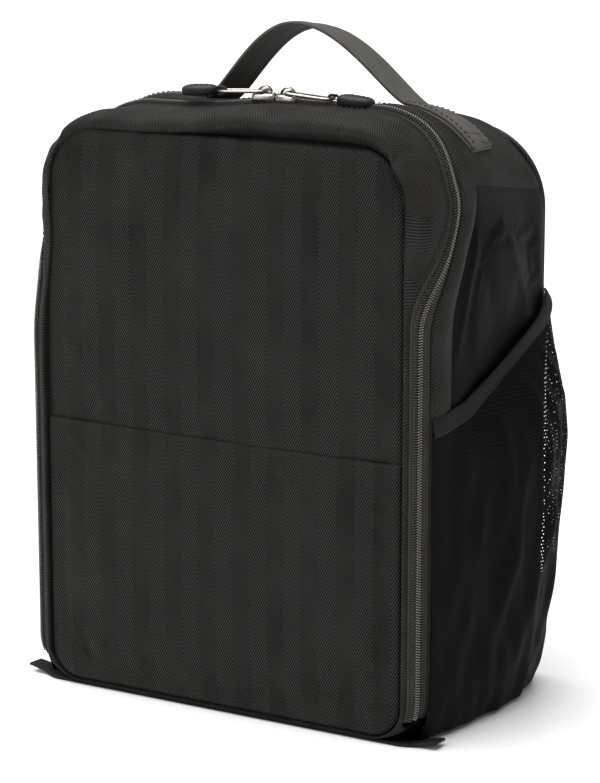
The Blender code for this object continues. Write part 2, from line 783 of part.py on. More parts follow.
clear_scene()
PARTS = new_collection("padded_carrying_case")
CUTTERS = new_collection("cutters")

make_walls()
make_back()
make_hinge_strip()
make_zip()
make_lid()
make_dividers()
make_handle()
make_handle_patches()
for SIDE, WORD in ((1, "right"), (-1, "left")):
    make_slider(SIDE, WORD)
    make_pull(SIDE, WORD)
    make_cord_and_grip(SIDE, WORD)
    make_side_pocket(SIDE, WORD)
    make_pocket_binding(SIDE, WORD)
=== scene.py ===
"""Looks of the padded carrying case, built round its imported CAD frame.

Metres, +Z up, front towards -Y. As in the part's source, a place on the case is a station along
its rounded outline, 0 in the middle of the roof and 29 in the middle of the base (negative on the
left), and a run, the length over the surface from the front panel's edge to the back.
"""
import json
import math

import bmesh
import bpy
import numpy as np
from mathutils import Matrix, Vector

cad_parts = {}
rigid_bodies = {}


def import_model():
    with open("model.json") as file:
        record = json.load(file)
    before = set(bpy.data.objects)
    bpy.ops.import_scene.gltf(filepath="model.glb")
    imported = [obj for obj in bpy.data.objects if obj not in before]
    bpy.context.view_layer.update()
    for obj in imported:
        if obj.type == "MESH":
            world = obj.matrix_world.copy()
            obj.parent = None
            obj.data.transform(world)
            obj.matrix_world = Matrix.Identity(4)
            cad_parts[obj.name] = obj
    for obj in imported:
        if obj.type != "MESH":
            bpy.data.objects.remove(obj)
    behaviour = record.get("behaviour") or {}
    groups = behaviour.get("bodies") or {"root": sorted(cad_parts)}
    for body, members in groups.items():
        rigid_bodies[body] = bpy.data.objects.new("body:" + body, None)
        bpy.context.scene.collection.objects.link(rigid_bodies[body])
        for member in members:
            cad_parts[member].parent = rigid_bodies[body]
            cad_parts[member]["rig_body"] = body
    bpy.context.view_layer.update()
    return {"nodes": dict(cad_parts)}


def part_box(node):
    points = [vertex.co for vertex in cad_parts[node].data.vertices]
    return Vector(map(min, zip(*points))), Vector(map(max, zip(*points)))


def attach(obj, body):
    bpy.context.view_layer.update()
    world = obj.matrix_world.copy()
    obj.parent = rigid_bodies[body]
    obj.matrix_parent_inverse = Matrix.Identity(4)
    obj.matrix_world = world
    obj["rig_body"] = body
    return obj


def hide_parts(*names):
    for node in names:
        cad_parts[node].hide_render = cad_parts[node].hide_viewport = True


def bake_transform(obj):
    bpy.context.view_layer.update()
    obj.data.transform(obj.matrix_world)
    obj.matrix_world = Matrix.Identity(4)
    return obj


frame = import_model()


def low(node):
    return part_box(node)[0]


def high(node):
    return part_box(node)[1]


# ---- sizes: read from the frame where a node has them, otherwise as in the part's source ------
HALF_WIDTH = high("side_panel_right").x
HEIGHT = high("top_panel").z
FRONT_Y = low("front_panel_upper").y
BACK_Y = high("back_panel").y
SEAM_HEIGHT = high("front_pocket_panel").z      # mouth of the slip pocket
LID_FOOT = low("front_pocket_panel").z
LID_INNER_Y = high("lid_lining").y
TOP_RADIUS = 0.052
FOOT_RADIUS = 0.026
ROOF_FALL_Y = -0.015
ROOF_FALL = 0.155
EDGE_DROP, EDGE_DEPTH, EDGE_RUN = 0.013, 0.0215, 0.0275
BACK_DROP, BACK_DEPTH, BACK_RUN = 0.006, 0.0115, 0.014
# share of the edge's drop that the base rises by, and that the corners' radii lose
BASE_SHARE, TOP_CORNER_SHARE, FOOT_CORNER_SHARE = 0.06, 1.9, 0.6
BASE_LIFT = 0.0018                              # the base over the webbing strip
STRIP_BACK_Y, STEP_BACK_Y = -0.0503, -0.046
CLOTH_THICK = 0.0011                            # of most of the outer cloths
WALL = 0.0101                                   # skin, foam and lining together
GAP = 0.0003
CORNER_SAG, ROOF_SAG, BACK_SAG = 0.0022, 0.0058, 0.0022
SAG_STATION, SAG_WIDTH = -6.4, 3.0              # where the roof's left corner hangs most
LEFT_LEAN, RIGHT_LEAN = 0.0060, 0.0030
LEAN_HEIGHT, LEAN_RISE = 0.19, 0.06             # the sides lean in above this

ZIP_LOW_RUN = 0.0105
ZIP_SWEEP_START, ZIP_SWEEP_HEIGHT, ZIP_SWEEP = 0.212, 0.075, 0.028
ZIP_CORNER_START, ZIP_CORNER = 0.285, 0.0135
ZIP_END = 24.5
TAPE_WIDTH, TAPE_SLOT = 0.007, 0.0006

HANDLE_Y, HANDLE_HALF = 0.010, 0.0145
POCKET_FRONT_Y, POCKET_BACK_Y = -0.057, 0.062

ROOF_END, CORNER_END, SIDE_END, FOOT_END, BASE_MIDDLE = 3, 11, 23, 28, 29
ROLL_Y = FRONT_Y + EDGE_DEPTH
BACK_ROLL_Y = BACK_Y - BACK_DEPTH
STRAIGHT_END_RUN = EDGE_RUN + BACK_ROLL_Y - ROLL_Y
LAST_RUN = STRAIGHT_END_RUN + BACK_RUN
SIDES = ((1, "right"), (-1, "left"))


# ---- the case's surface ------------------------------------------------------------------------
def smooth(value):
    value = np.clip(value, 0.0, 1.0)
    return value * value * (3 - 2 * value)


def edge_fall(inset, radius, power=2):
    """How far a rounded edge has fallen at an inset from it, as a share of its depth."""
    turn = np.clip(1 - inset / radius, 0, 1)
    return 1 - np.sqrt(1 - turn ** power)


def hump(value, centre, width):
    """A soft hump of height 1 round a centre."""
    return np.exp(-((value - centre) / width) ** 2)


def unit(vectors):
    return vectors / np.linalg.norm(vectors, axis=-1, keepdims=True)


def stacked(*parts):
    """Coordinates that broadcast together, as one array of points."""
    return np.stack(np.broadcast_arrays(*parts), -1)


def lengths_along(points):
    """Length from the first point to each point of a line."""
    steps = np.linalg.norm(np.diff(points, axis=0), axis=1)
    return np.concatenate(([0.0], np.cumsum(steps)))


def profile(run):
    """Depth position and edge drop for a run; a run below 0 carries on over the front face."""
    front = math.pi / 2 * (1 - run / EDGE_RUN)
    back = math.pi / 2 * (run - STRAIGHT_END_RUN) / BACK_RUN
    slope = EDGE_DROP * math.pi / 2 / EDGE_RUN
    places = [run < 0, run < EDGE_RUN, run < STRAIGHT_END_RUN]
    y = np.select(places, [FRONT_Y + 0 * run, ROLL_Y - EDGE_DEPTH * np.sin(front),
                           ROLL_Y + run - EDGE_RUN], BACK_ROLL_Y + BACK_DEPTH * np.sin(back))
    drop = np.select(places, [EDGE_DROP - slope * run, EDGE_DROP * (1 - np.cos(front)), 0 * run],
                     BACK_DROP * (1 - np.cos(back)))
    return y, drop


def outline(station, y, drop, depth=0.0):
    """Place across and up on the rounded outline at a depth position."""
    fall = (STEP_BACK_Y - y) / (STEP_BACK_Y - STRIP_BACK_Y)
    base = BASE_LIFT * np.clip(fall, 0.0, 1.0)
    half = HALF_WIDTH - drop - depth
    top = HEIGHT - ROOF_FALL * np.maximum(0.0, y - ROOF_FALL_Y) - drop - depth
    bottom = base + drop * BASE_SHARE + depth
    corner = np.maximum(TOP_RADIUS - drop * TOP_CORNER_SHARE - depth, 0.002)
    foot = np.maximum(FOOT_RADIUS - drop * FOOT_CORNER_SHARE - depth, 0.002)
    place = np.abs(station)
    turn = math.pi / 2 * (CORNER_END - place) / (CORNER_END - ROOF_END)
    under = math.pi / 2 * (place - SIDE_END) / (FOOT_END - SIDE_END)
    share = (place - CORNER_END) / (SIDE_END - CORNER_END)
    stretches = [place <= ROOF_END, place <= CORNER_END, place <= SIDE_END, place <= FOOT_END]
    x = np.select(stretches, [(half - corner) * place / ROOF_END,
                              half - corner + corner * np.cos(turn), half + 0 * place,
                              half - foot + foot * np.cos(under)],
                  (half - foot) * (BASE_MIDDLE - place))
    z = np.select(stretches, [top + 0 * place, top - corner + corner * np.sin(turn),
                              (top - corner) * (1 - share) + (bottom + foot) * share,
                              bottom + foot - foot * np.sin(under)], bottom)
    return np.where(station < 0, -x, x), z


def settle(x, z, station, y):
    """The soft case gives a little: its roof hangs towards the left, its left side leans in."""
    corner = hump(station, SAG_STATION, SAG_WIDTH)
    middle = smooth((1.0 - station) / 3.0) * smooth((station + 9.0) / 5.0)
    front = 1 - 0.45 * smooth((y + 0.045) / 0.06)
    high_up = smooth((z - LEAN_HEIGHT) / LEAN_RISE)
    left = high_up * smooth((-0.08 - x) / 0.03)
    back = smooth(y / 0.05)
    right = high_up * smooth((x - 0.08) / 0.03) * back
    sag = (CORNER_SAG * corner + ROOF_SAG * middle) * front
    sag = sag + BACK_SAG * back * smooth((station - 1.0) / 3.0) * smooth((11.0 - station) / 4.0)
    return x + LEFT_LEAN * left - RIGHT_LEAN * right, z - sag


def bare_surface(station, run):
    station, run = np.broadcast_arrays(np.asarray(station, float), np.asarray(run, float))
    y, drop = profile(run)
    x, z = outline(station, y, drop)
    x, z = settle(x, z, station, y)
    return stacked(x, y, z)


def surface_normal(station, run):
    along = bare_surface(station + 0.01, run) - bare_surface(station - 0.01, run)
    back = bare_surface(station, run + 0.0005) - bare_surface(station, run - 0.0005)
    return unit(np.cross(along, back))


def surface(station, run, lift=0.0):
    """Points on the case's skin, lifted off it along its normal."""
    lift = np.asarray(lift, float)[..., None]
    return bare_surface(station, run) + lift * surface_normal(station, run)


def zip_run(station):
    height = outline(station, np.full_like(np.asarray(station, float), ROLL_Y), 0.0)[1]
    sweep = ZIP_SWEEP * smooth((height - ZIP_SWEEP_START) / ZIP_SWEEP_HEIGHT)
    return (ZIP_LOW_RUN + sweep
            + ZIP_CORNER * smooth((height - ZIP_CORNER_START) / (HEIGHT - ZIP_CORNER_START)))


def zip_share(station):
    """1 along the zip, 0 under the foot, where the lid's cloth meets the base's."""
    return 1 - smooth((np.abs(station) - ZIP_END - 0.1) / 0.8)


def run_at(y):
    return EDGE_RUN + y - ROLL_Y


FINE_STATIONS = np.linspace(0, BASE_MIDDLE, 5801)
FINE_LENGTHS = lengths_along(bare_surface(FINE_STATIONS, EDGE_RUN))


def length_at(station):
    """Length along the outline from the middle of the roof."""
    return np.sign(station) * np.interp(np.abs(station), FINE_STATIONS, FINE_LENGTHS)


def station_at(length):
    return np.sign(length) * np.interp(np.abs(length), FINE_LENGTHS, FINE_STATIONS)


def stations_between(first, last, spacing):
    """Stations evenly spaced by length over the surface."""
    ends = length_at(np.array([first, last], float))
    count = max(2, int(round((ends[1] - ends[0]) / spacing)) + 1)
    return station_at(np.linspace(ends[0], ends[1], count))


# ---- curves, waves and folds -------------------------------------------------------------------
def spline(keys, share):
    """A Catmull-Rom curve through keys (first axis), read at shares from 0 to 1."""
    keys = np.asarray(keys, float)
    ends = (2 * keys[:1] - keys[1:2], keys, 2 * keys[-1:] - keys[-2:-1])
    padded = np.concatenate(ends)
    place = np.clip(np.asarray(share, float), 0, 1) * (len(keys) - 1)
    k = np.minimum(place.astype(int), len(keys) - 2)
    t = (place - k).reshape((-1,) + (1,) * (keys.ndim - 1))
    a, b, c, d = (padded[k + i] for i in range(4))
    return 0.5 * (2 * b + (c - a) * t + (2 * a - 5 * b + 4 * c - d) * t ** 2
                  + (3 * b - a - 3 * c + d) * t ** 3)


WAVE_COUNT = 7


def waves(u, v, size, seed):
    """Soft unevenness of about one unit, as a sum of waves of roughly one size."""
    random = np.random.default_rng(seed)
    total = 0.0
    for _ in range(WAVE_COUNT):
        direction = random.uniform(0, 2 * math.pi)
        pitch = size * random.uniform(0.7, 1.6)
        shift = random.uniform(0, 2 * math.pi)
        phase = 2 * math.pi * (u * math.cos(direction) + v * math.sin(direction)) / pitch
        total = total + np.sin(phase + shift)
    return total / math.sqrt(WAVE_COUNT)


def fold(u, v, line, width, height):
    """A soft ridge along a line of points, fading out at both ends."""
    nearest = np.full(np.shape(u), 1e9)
    place = np.zeros(np.shape(u))
    lengths = np.linalg.norm(np.diff(line, axis=0), axis=1)
    done = 0.0
    for (start, end), length in zip(zip(line, line[1:]), lengths):
        du, dv = end[0] - start[0], end[1] - start[1]
        t = np.clip(((u - start[0]) * du + (v - start[1]) * dv) / length ** 2, 0, 1)
        away = np.hypot(u - start[0] - t * du, v - start[1] - t * dv)
        closer = away < nearest
        nearest = np.where(closer, away, nearest)
        place = np.where(closer, (done + t * length) / lengths.sum(), place)
        done += length
    fade = np.sin(math.pi * np.clip(place, 0.0, 1.0)) ** 0.6
    return height * fade * hump(nearest, 0.0, width)


# ---- mesh making -------------------------------------------------------------------------------
def link(obj):
    bpy.context.scene.collection.objects.link(obj)
    return obj


def smooth_object(name, mesh):
    mesh.polygons.foreach_set("use_smooth", [True] * len(mesh.polygons))
    mesh.update()
    return link(bpy.data.objects.new(name, mesh))


def shape_object(name, shape):
    """The object of a finished bmesh, which is freed."""
    mesh = bpy.data.meshes.new(name)
    shape.to_mesh(mesh)
    shape.free()
    return smooth_object(name, mesh)


def cube_grid(cuts):
    """A cube from -1 to 1 whose faces are cut into a grid."""
    shape = bmesh.new()
    bmesh.ops.create_cube(shape, size=2.0)
    bmesh.ops.subdivide_edges(shape, edges=shape.edges, cuts=cuts, use_grid_fill=True)
    return shape


def mesh_object(name, points, faces, uv=None):
    mesh = bpy.data.meshes.new(name)
    mesh.from_pydata(np.asarray(points).reshape(-1, 3).tolist(), [], faces)
    if uv is not None:
        layer = mesh.uv_layers.new(name="metric")
        layer.data.foreach_set("uv", np.asarray(uv, np.float32).ravel())
    return smooth_object(name, mesh)


def grid_faces(rows, columns, closed):
    faces = []
    for i in range(rows if closed else rows - 1):
        after = (i + 1) % rows
        for j in range(columns - 1):
            faces.append((i * columns + j, after * columns + j,
                          after * columns + j + 1, i * columns + j + 1))
    return faces


def grid(name, points, uv, thickness=0.0, closed=False, outward=False):
    """A sheet of quads from rows by columns of points, with its measures in metres as its UV."""
    rows, columns = points.shape[:2]
    faces = grid_faces(rows, columns, closed)
    corners = [(i, j) for i in range(rows if closed else rows - 1) for j in range(columns - 1)]
    i, j = np.array(corners).T
    loops = np.stack((uv[i, j], uv[i + 1, j], uv[i + 1, j + 1], uv[i, j + 1]), 1)
    obj = mesh_object(name, points, faces, loops)
    if thickness:
        solid = obj.modifiers.new("thickness", "SOLIDIFY")
        solid.thickness = thickness
        solid.offset = 1.0 if outward else -1.0
    return obj


def shell_grid(name, stations, runs, lift, thickness, closed=False):
    """A sheet over the case's surface; runs and lift have a row for each station."""
    place = stations[:, None] if stations.ndim == 1 else stations
    place = np.broadcast_to(place, runs.shape)
    uv = stacked(length_at(place), runs)
    if closed:
        first = uv[:1] + np.array([2 * FINE_LENGTHS[-1], 0.0])
        uv = np.concatenate((uv, first))
    return grid(name, surface(place, runs, lift), uv, thickness, closed)


def ring_faces(count, sides, closed=False):
    """Quads round a tube of rings, and its two end caps unless it closes on itself."""
    faces = []
    for i in range(count if closed else count - 1):
        after = (i + 1) % count
        for k in range(sides):
            nxt = (k + 1) % sides
            faces.append((i * sides + k, i * sides + nxt, after * sides + nxt, after * sides + k))
    if not closed:
        faces.append(tuple(reversed(range(sides))))
        faces.append(tuple(range((count - 1) * sides, count * sides)))
    return faces


def squared_circle(angle, power):
    """A circle's two coordinates pushed out towards its corners; power 1 leaves it round."""
    return (np.sign(part) * np.abs(part) ** power for part in (np.cos(angle), np.sin(angle)))


def tube(name, centre, radius, up, sides=8, closed=False):
    """A round bar along points; up is roughly square to it at every point."""
    centre = np.asarray(centre, float)
    if closed:
        tangent = unit(np.roll(centre, -1, 0) - np.roll(centre, 1, 0))
    else:
        tangent = unit(np.gradient(centre, axis=0))
    side = unit(np.cross(tangent, np.broadcast_to(up, centre.shape)))
    top = np.cross(side, tangent)
    angle = np.linspace(0, 2 * math.pi, sides, endpoint=False)[None, :, None]
    ring = np.cos(angle) * side[:, None] + np.sin(angle) * top[:, None]
    points = centre[:, None] + radius * ring
    return mesh_object(name, points, ring_faces(len(centre), sides, closed))


def stitches(name, points, normals, length=0.0022, radius=0.00027, tangent=None):
    """A row of thread stitches, each a small arched capsule lying along the row (or tangent)."""
    tangent = unit(np.gradient(points, axis=0) if tangent is None else tangent)
    side = np.cross(normals, tangent)
    swell = np.array([0.25, 0.9, 1.0, 0.9, 0.25])
    rise = np.array([-0.6, 0.25, 0.6, 0.25, -0.6])
    rings, sides = len(swell), 6
    angle = np.linspace(0, 2 * math.pi, sides, endpoint=False)
    along = np.repeat(np.linspace(-1, 1, rings) * length / 2, sides)
    out = (swell[:, None] * np.cos(angle)).ravel() * radius
    up = (swell[:, None] * np.sin(angle) + rise[:, None]).ravel() * radius
    verts = (points[:, None] + along[None, :, None] * tangent[:, None]
             + out[None, :, None] * side[:, None] + up[None, :, None] * normals[:, None])
    single = ring_faces(rings, sides)
    faces = [tuple(n * rings * sides + corner for corner in face)
             for n in range(len(points)) for face in single]
    return mesh_object(name, verts, faces)


def joined(name, *objects):
    """Several loose meshes as one object."""
    shape = bmesh.new()
    for obj in objects:
        shape.from_mesh(obj.data)
        bpy.data.objects.remove(obj)
    return shape_object(name, shape)


def ribbon(name, centre, outward, width, thickness):
    """Folded tape with a rounded flat section along points; outward is its face's direction."""
    tangent = unit(np.gradient(centre, axis=0))
    up = unit(np.cross(outward, tangent))
    face = np.cross(tangent, up)
    across, off = squared_circle(np.linspace(0, 2 * math.pi, 16, endpoint=False), 0.5)
    across, off = across * width / 2, off / 2
    points = (centre[None] + across[:, None, None] * up[None]
              + off[:, None, None] * (thickness[:, None] * face)[None])
    uv = stacked(lengths_along(centre)[None, :], np.append(across, across[0])[:, None])
    return grid(name, points, uv, closed=True)


def rounded_block(name, centre, half, power, cuts):
    """A closed soft-edged block: a cube's grid pushed out to a superellipsoid."""
    shape = cube_grid(cuts)
    for vert in shape.verts:
        size = sum(abs(value) ** power for value in vert.co) ** (1 / power)
        vert.co = Vector(centre) + Vector([value / size * reach
                                           for value, reach in zip(vert.co, half)])
    return shape_object(name, shape)


def place_piece(obj, material, slot, body, *nodes, fill=None):
    """Material and body of a piece, and the CAD nodes that it stands for, which it hides; slot and
    fill are not used.
    """
    obj.data.materials.clear()
    obj.data.materials.append(material)
    if body:
        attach(obj, body)
    if nodes:
        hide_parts(*nodes)


# ---- materials ---------------------------------------------------------------------------------
class Paint:
    """A material under construction: a Principled shader and short calls that add nodes."""

    def __init__(self, name, specular=0.2, metallic=0.0, sheen=0.0):
        self.material = bpy.data.materials.new(name)
        self.material.use_nodes = True
        self.tree = self.material.node_tree
        self.shader = self.tree.nodes["Principled BSDF"]
        for socket, value in (("Specular IOR Level", specular), ("Metallic", metallic),
                              ("Sheen Weight", sheen), ("Sheen Roughness", 0.5)):
            self.shader.inputs[socket].default_value = value

    def feed(self, node, socket, value):
        if isinstance(value, bpy.types.NodeSocket):
            self.tree.links.new(value, node.inputs[socket])
        else:
            node.inputs[socket].default_value = value

    def math(self, operation, a, b=0.0, c=0.0):
        node = self.tree.nodes.new("ShaderNodeMath")
        node.operation = operation
        for socket, value in enumerate((a, b, c)):
            self.feed(node, socket, value)
        return node.outputs[0]

    def total(self, base, *layers):
        """A base value plus layers, each a value and its weight."""
        for value, weight in layers:
            base = self.math("MULTIPLY_ADD", value, weight, base)
        return base

    def uv(self):
        """Lengths along and across the cloth in metres, from the piece's own measures."""
        node = self.tree.nodes.new("ShaderNodeUVMap")
        node.uv_map = "metric"
        split = self.tree.nodes.new("ShaderNodeSeparateXYZ")
        self.tree.links.new(node.outputs[0], split.inputs[0])
        return node.outputs[0], split.outputs[0], split.outputs[1]

    def solid(self):
        return self.tree.nodes.new("ShaderNodeTexCoord").outputs["Object"]

    def noise(self, vector, size, detail=2.0, roughness=0.5):
        node = self.tree.nodes.new("ShaderNodeTexNoise")
        for socket, value in (("Vector", vector), ("Scale", 1.0 / size), ("Detail", detail),
                              ("Roughness", roughness)):
            self.feed(node, socket, value)
        return node.outputs[0]

    def lines(self, along, spacing):
        """A wave from 0 to 1 that repeats each spacing."""
        turned = self.math("MULTIPLY", along, 2 * math.pi / spacing)
        return self.math("MULTIPLY_ADD", self.math("SINE", turned), 0.5, 0.5)

    def ribs(self, across, up, stripe, slope, spacing):
        """Diagonal ribs that turn back and forth from stripe to stripe."""
        swing = self.math("PINGPONG", across, stripe)
        return self.lines(self.total(up, (swing, -slope)), spacing)

    def mix(self, share, dark, light):
        node = self.tree.nodes.new("ShaderNodeMix")
        node.data_type = "RGBA"
        self.feed(node, 0, share)
        for socket, colour in ((6, dark), (7, light)):
            value = colour if isinstance(colour, bpy.types.NodeSocket) else (*colour, 1.0)
            self.feed(node, socket, value)
        return node.outputs[2]

    def spread(self, value, low_value, high_value):
        node = self.tree.nodes.new("ShaderNodeMapRange")
        for socket, given in (("Value", value), ("To Min", low_value), ("To Max", high_value)):
            self.feed(node, socket, given)
        return node.outputs[0]

    def finish(self, colour, rough, height, depth, strength):
        """Colour, roughness and bump, then the finished material."""
        bump = self.tree.nodes.new("ShaderNodeBump")
        for node, socket, value in ((self.shader, "Base Color", colour),
                                    (self.shader, "Roughness", rough), (bump, "Height", height),
                                    (bump, "Distance", depth), (bump, "Strength", strength),
                                    (self.shader, "Normal", bump.outputs[0])):
            self.feed(node, socket, value)
        return self.material


def herringbone_twill():
    """Steep diagonal ribs in upright stripes; every other stripe carries a painted sheen, its ribs
    lighter and darker in the colour.
    """
    stripe = 0.0103
    paint = Paint("herringbone_twill", specular=0.10)
    vector, across, up = paint.uv()
    rib = paint.ribs(across, up, stripe, slope=1.75, spacing=0.00235)
    side = paint.math("FRACT", paint.math("DIVIDE", across, 2 * stripe))
    # painted sheen: in every other stripe the colour gives the ribs stronger highlights and shade,
    # as light glancing off one direction of yarn
    painted_sheen_stripe = paint.math("LESS_THAN", side, 0.5)
    yarn = paint.noise(vector, 0.0007)
    cloud = paint.noise(vector, 0.035, 3.0)
    contrast = paint.total(0.16, (painted_sheen_stripe, 1.20))
    level = paint.total(-0.285, (paint.math("SUBTRACT", rib, 0.5), contrast), (yarn, 0.6),
                        (painted_sheen_stripe, -0.165), (cloud, 0.30))
    colour = paint.mix(level, (0.0010, 0.0010, 0.0009), (0.0600, 0.0568, 0.0515))
    return paint.finish(colour, paint.spread(rib, 0.72, 0.5), paint.total(rib, (yarn, 0.35)),
                        0.00016, 0.8)


def band_twill():
    """The same cloth cut as a strip: its ribs turn back and forth in wide stripes."""
    paint = Paint("band_twill", specular=0.10)
    vector, across, up = paint.uv()
    rib = paint.ribs(across, up, stripe=0.0165, slope=2.0, spacing=0.0030)
    yarn = paint.noise(vector, 0.0006)
    cloud = paint.noise(vector, 0.02, 3.0)
    level = paint.total(-0.40, (rib, 0.5), (yarn, 0.4), (cloud, 0.6))
    colour = paint.mix(level, (0.0018, 0.0017, 0.0015), (0.0400, 0.0378, 0.0345))
    return paint.finish(colour, paint.spread(rib, 0.74, 0.54), paint.total(rib, (yarn, 0.35)),
                        0.00013, 0.8)


PAINTED_HIGHLIGHT_END = 0.163            # length over the roof at which the painted highlight on the nylon, by the seam, ends


def plain_nylon():
    """Fine plain weave, nearly smooth, with faint cloudy wear, and a painted highlight on the
    side's top by the roof seam.
    """
    paint = Paint("plain_nylon", specular=0.05)
    vector, across, up = paint.uv()
    weave = paint.math("MULTIPLY", paint.lines(across, 0.0007), paint.lines(up, 0.0007))
    cloud = paint.noise(vector, 0.05, 4.0, 0.6)
    slub = paint.noise(vector, 0.0016)
    level = paint.total(0.0, (cloud, 0.5), (slub, 0.35))
    colour = paint.mix(level, (0.0010, 0.0010, 0.0011), (0.0034, 0.0034, 0.0036))
    # painted highlight: a lighter colour where the side turns up towards the overhead light, next
    # to the roof seam
    sheen = paint.mix(level, (0.0050, 0.0048, 0.0044), (0.0210, 0.0200, 0.0185))
    near = paint.math("SUBTRACT", paint.math("ABSOLUTE", across), PAINTED_HIGHLIGHT_END)
    near = paint.math("DIVIDE", paint.total(near, (cloud, 0.012)), -0.022)
    colour = paint.mix(paint.math("SMOOTH_MIN", near, 1.0, 0.3), colour, sheen)
    return paint.finish(colour, paint.spread(cloud, 0.52, 0.68), paint.total(weave, (slub, 0.5)),
                        0.00006, 0.7)


def ribbed(name, dark, light, along_pitch, across_pitch):
    """Webbing or tape: ribs across it, broken up by lengthwise yarns."""
    paint = Paint(name, specular=0.12)
    vector, along, across = paint.uv()
    rib = paint.ribs(across, along, across_pitch, -0.6, along_pitch)
    yarn = paint.lines(across, across_pitch)
    fuzz = paint.noise(vector, 0.0005, 3.0)
    wear = paint.noise(vector, 0.012, 3.0)
    level = paint.total(-0.35, (rib, 0.45), (yarn, 0.25), (fuzz, 0.4), (wear, 0.4))
    height = paint.total(rib, (yarn, 0.5), (fuzz, 1.0))
    return paint.finish(paint.mix(level, dark, light), paint.spread(level, 0.62, 0.8), height,
                        0.00014, 0.8)


def small_grain(name, dark, light, size, rough, depth, specular=0.3, metallic=0.0):
    """A hard or threadlike finish with grain and wear in the solid."""
    paint = Paint(name, specular, metallic)
    vector = paint.solid()
    grain = paint.noise(vector, size, 3.0)
    wear = paint.noise(vector, size * 9, 3.0, 0.6)
    colour = paint.mix(paint.total(0.0, (wear, 0.5), (grain, 0.5)), dark, light)
    return paint.finish(colour, paint.spread(wear, *rough), grain, depth, 0.6)


def loop_fabric():
    """Brushed loop lining: fuzzy, matt, mid grey."""
    paint = Paint("loop_fabric", specular=0.1, sheen=0.3)
    vector = paint.solid()
    fuzz = paint.noise(vector, 0.0009, 4.0, 0.7)
    patch = paint.noise(vector, 0.03, 3.0)
    level = paint.total(0.0, (patch, 0.3), (fuzz, 0.7))
    colour = paint.mix(level, (0.10, 0.10, 0.105), (0.26, 0.26, 0.27))
    return paint.finish(colour, paint.spread(fuzz, 0.85, 1.0), fuzz, 0.0005, 0.9)


def knitted_mesh():
    """Stretch mesh: rows of small open holes in a dark knit."""
    row, column = 0.0019, 0.0014
    holes_from = 0.075                          # height; below it the folds lie too close
    paint = Paint("knitted_mesh", specular=0.05)
    vector, along, up = paint.uv()
    rows = paint.math("DIVIDE", up, row)
    shifted = paint.total(along, (paint.math("FLOOR", rows), column / 2))
    edge = 0.0
    for place, squeeze in ((paint.math("DIVIDE", shifted, column), 2.9), (rows, 2.6)):
        away = paint.math("SUBTRACT", paint.math("FRACT", place), 0.5)
        square = paint.math("POWER", paint.math("MULTIPLY", away, squeeze), 2.0)
        edge = paint.math("ADD", edge, square)
    hole = paint.math("MULTIPLY", paint.math("LESS_THAN", edge, 0.20),
                      paint.math("GREATER_THAN", up, holes_from))
    knit = paint.math("MINIMUM", edge, 1.0)
    fuzz = paint.noise(vector, 0.0006)
    level = paint.total(0.0, (knit, 0.65), (fuzz, 0.35))
    colour = paint.mix(level, (0.0002, 0.0002, 0.0002), (0.0048, 0.0048, 0.0050))
    paint.feed(paint.shader, "Alpha", paint.math("SUBTRACT", 1.0, hole))
    return paint.finish(colour, paint.spread(fuzz, 0.55, 0.75), knit, 0.0002, 0.8)


TWILL = herringbone_twill()
BAND = band_twill()
NYLON = plain_nylon()
ZIP_TAPE = ribbed("zip_tape_cloth", (0.0070, 0.0064, 0.0058), (0.070, 0.0645, 0.058),
                  0.0013, 0.0017)
WEBBING = ribbed("handle_webbing", (0.030, 0.0282, 0.0255), (0.150, 0.141, 0.128),
                 0.0011, 0.0024)
STRIP = ribbed("edge_webbing", (0.0055, 0.0052, 0.0048), (0.026, 0.0245, 0.022), 0.0013, 0.0028)
GROSGRAIN = ribbed("binding_grosgrain", (0.0045, 0.0042, 0.0038), (0.0190, 0.0178, 0.0162),
                   0.0009, 0.0045)
THREAD = small_grain("sewing_thread", (0.005, 0.0047, 0.0044), (0.020, 0.0185, 0.017),
                     0.0004, (0.45, 0.7), 0.00005)
COIL = small_grain("coil_nylon", (0.008, 0.0075, 0.007), (0.030, 0.028, 0.026),
                   0.0006, (0.28, 0.45), 0.00002, specular=0.45)
# painted highlight: the coil's heads in a lighter copy of its nylon, for the glint along the zip's
# middle
COIL_HEAD_GLINT = small_grain("coil_heads_painted_glint", (0.09, 0.085, 0.077), (0.25, 0.238, 0.22),
                        0.0005, (0.28, 0.42), 0.00002, specular=0.5)
NICKEL = small_grain("bright_nickel", (0.26, 0.245, 0.225), (0.46, 0.435, 0.40),
                     0.0011, (0.16, 0.32), 0.00001, specular=0.5, metallic=1.0)
RUBBER = small_grain("moulded_rubber", (0.006, 0.006, 0.0063), (0.014, 0.014, 0.0145),
                     0.0007, (0.42, 0.6), 0.00003)
LOOP = loop_fabric()
MESH_CLOTH = knitted_mesh()


# ---- camera ------------------------------------------------------------------------------------
FOCAL_LENGTH, SENSOR_WIDTH = 132.08, 36.0       # millimetres
CAMERA_PLACE = (0.76344, -1.29828, 0.5122)
CAMERA_FORWARD = (-0.48995655, 0.84149179, -0.22767113)
CAMERA_AZIMUTH = math.radians(30.21)


def make_camera():
    """The camera fitted to the photo."""
    camera = bpy.data.cameras.new("photo_camera")
    camera.sensor_width, camera.lens = SENSOR_WIDTH, FOCAL_LENGTH
    camera.clip_start, camera.clip_end = 0.05, 50.0
    holder = link(bpy.data.objects.new("photo_camera", camera))
    forward = Vector(CAMERA_FORWARD).normalized()
    right = Vector((math.cos(CAMERA_AZIMUTH), math.sin(CAMERA_AZIMUTH), 0.0))
    up = right.cross(forward)
    turned = Matrix((right, up, -forward)).transposed().to_4x4()
    holder.matrix_world = Matrix.Translation(CAMERA_PLACE) @ turned
    bpy.context.scene.camera = holder


# ---- padding: cloth simulation -----------------------------------------------------------------
SIM_FRAMES = 20
SIM_PRESSURE = 4.0
SIM_SLACK = -0.012                              # a negative shrink: the cloth is cut 1.2 % larger


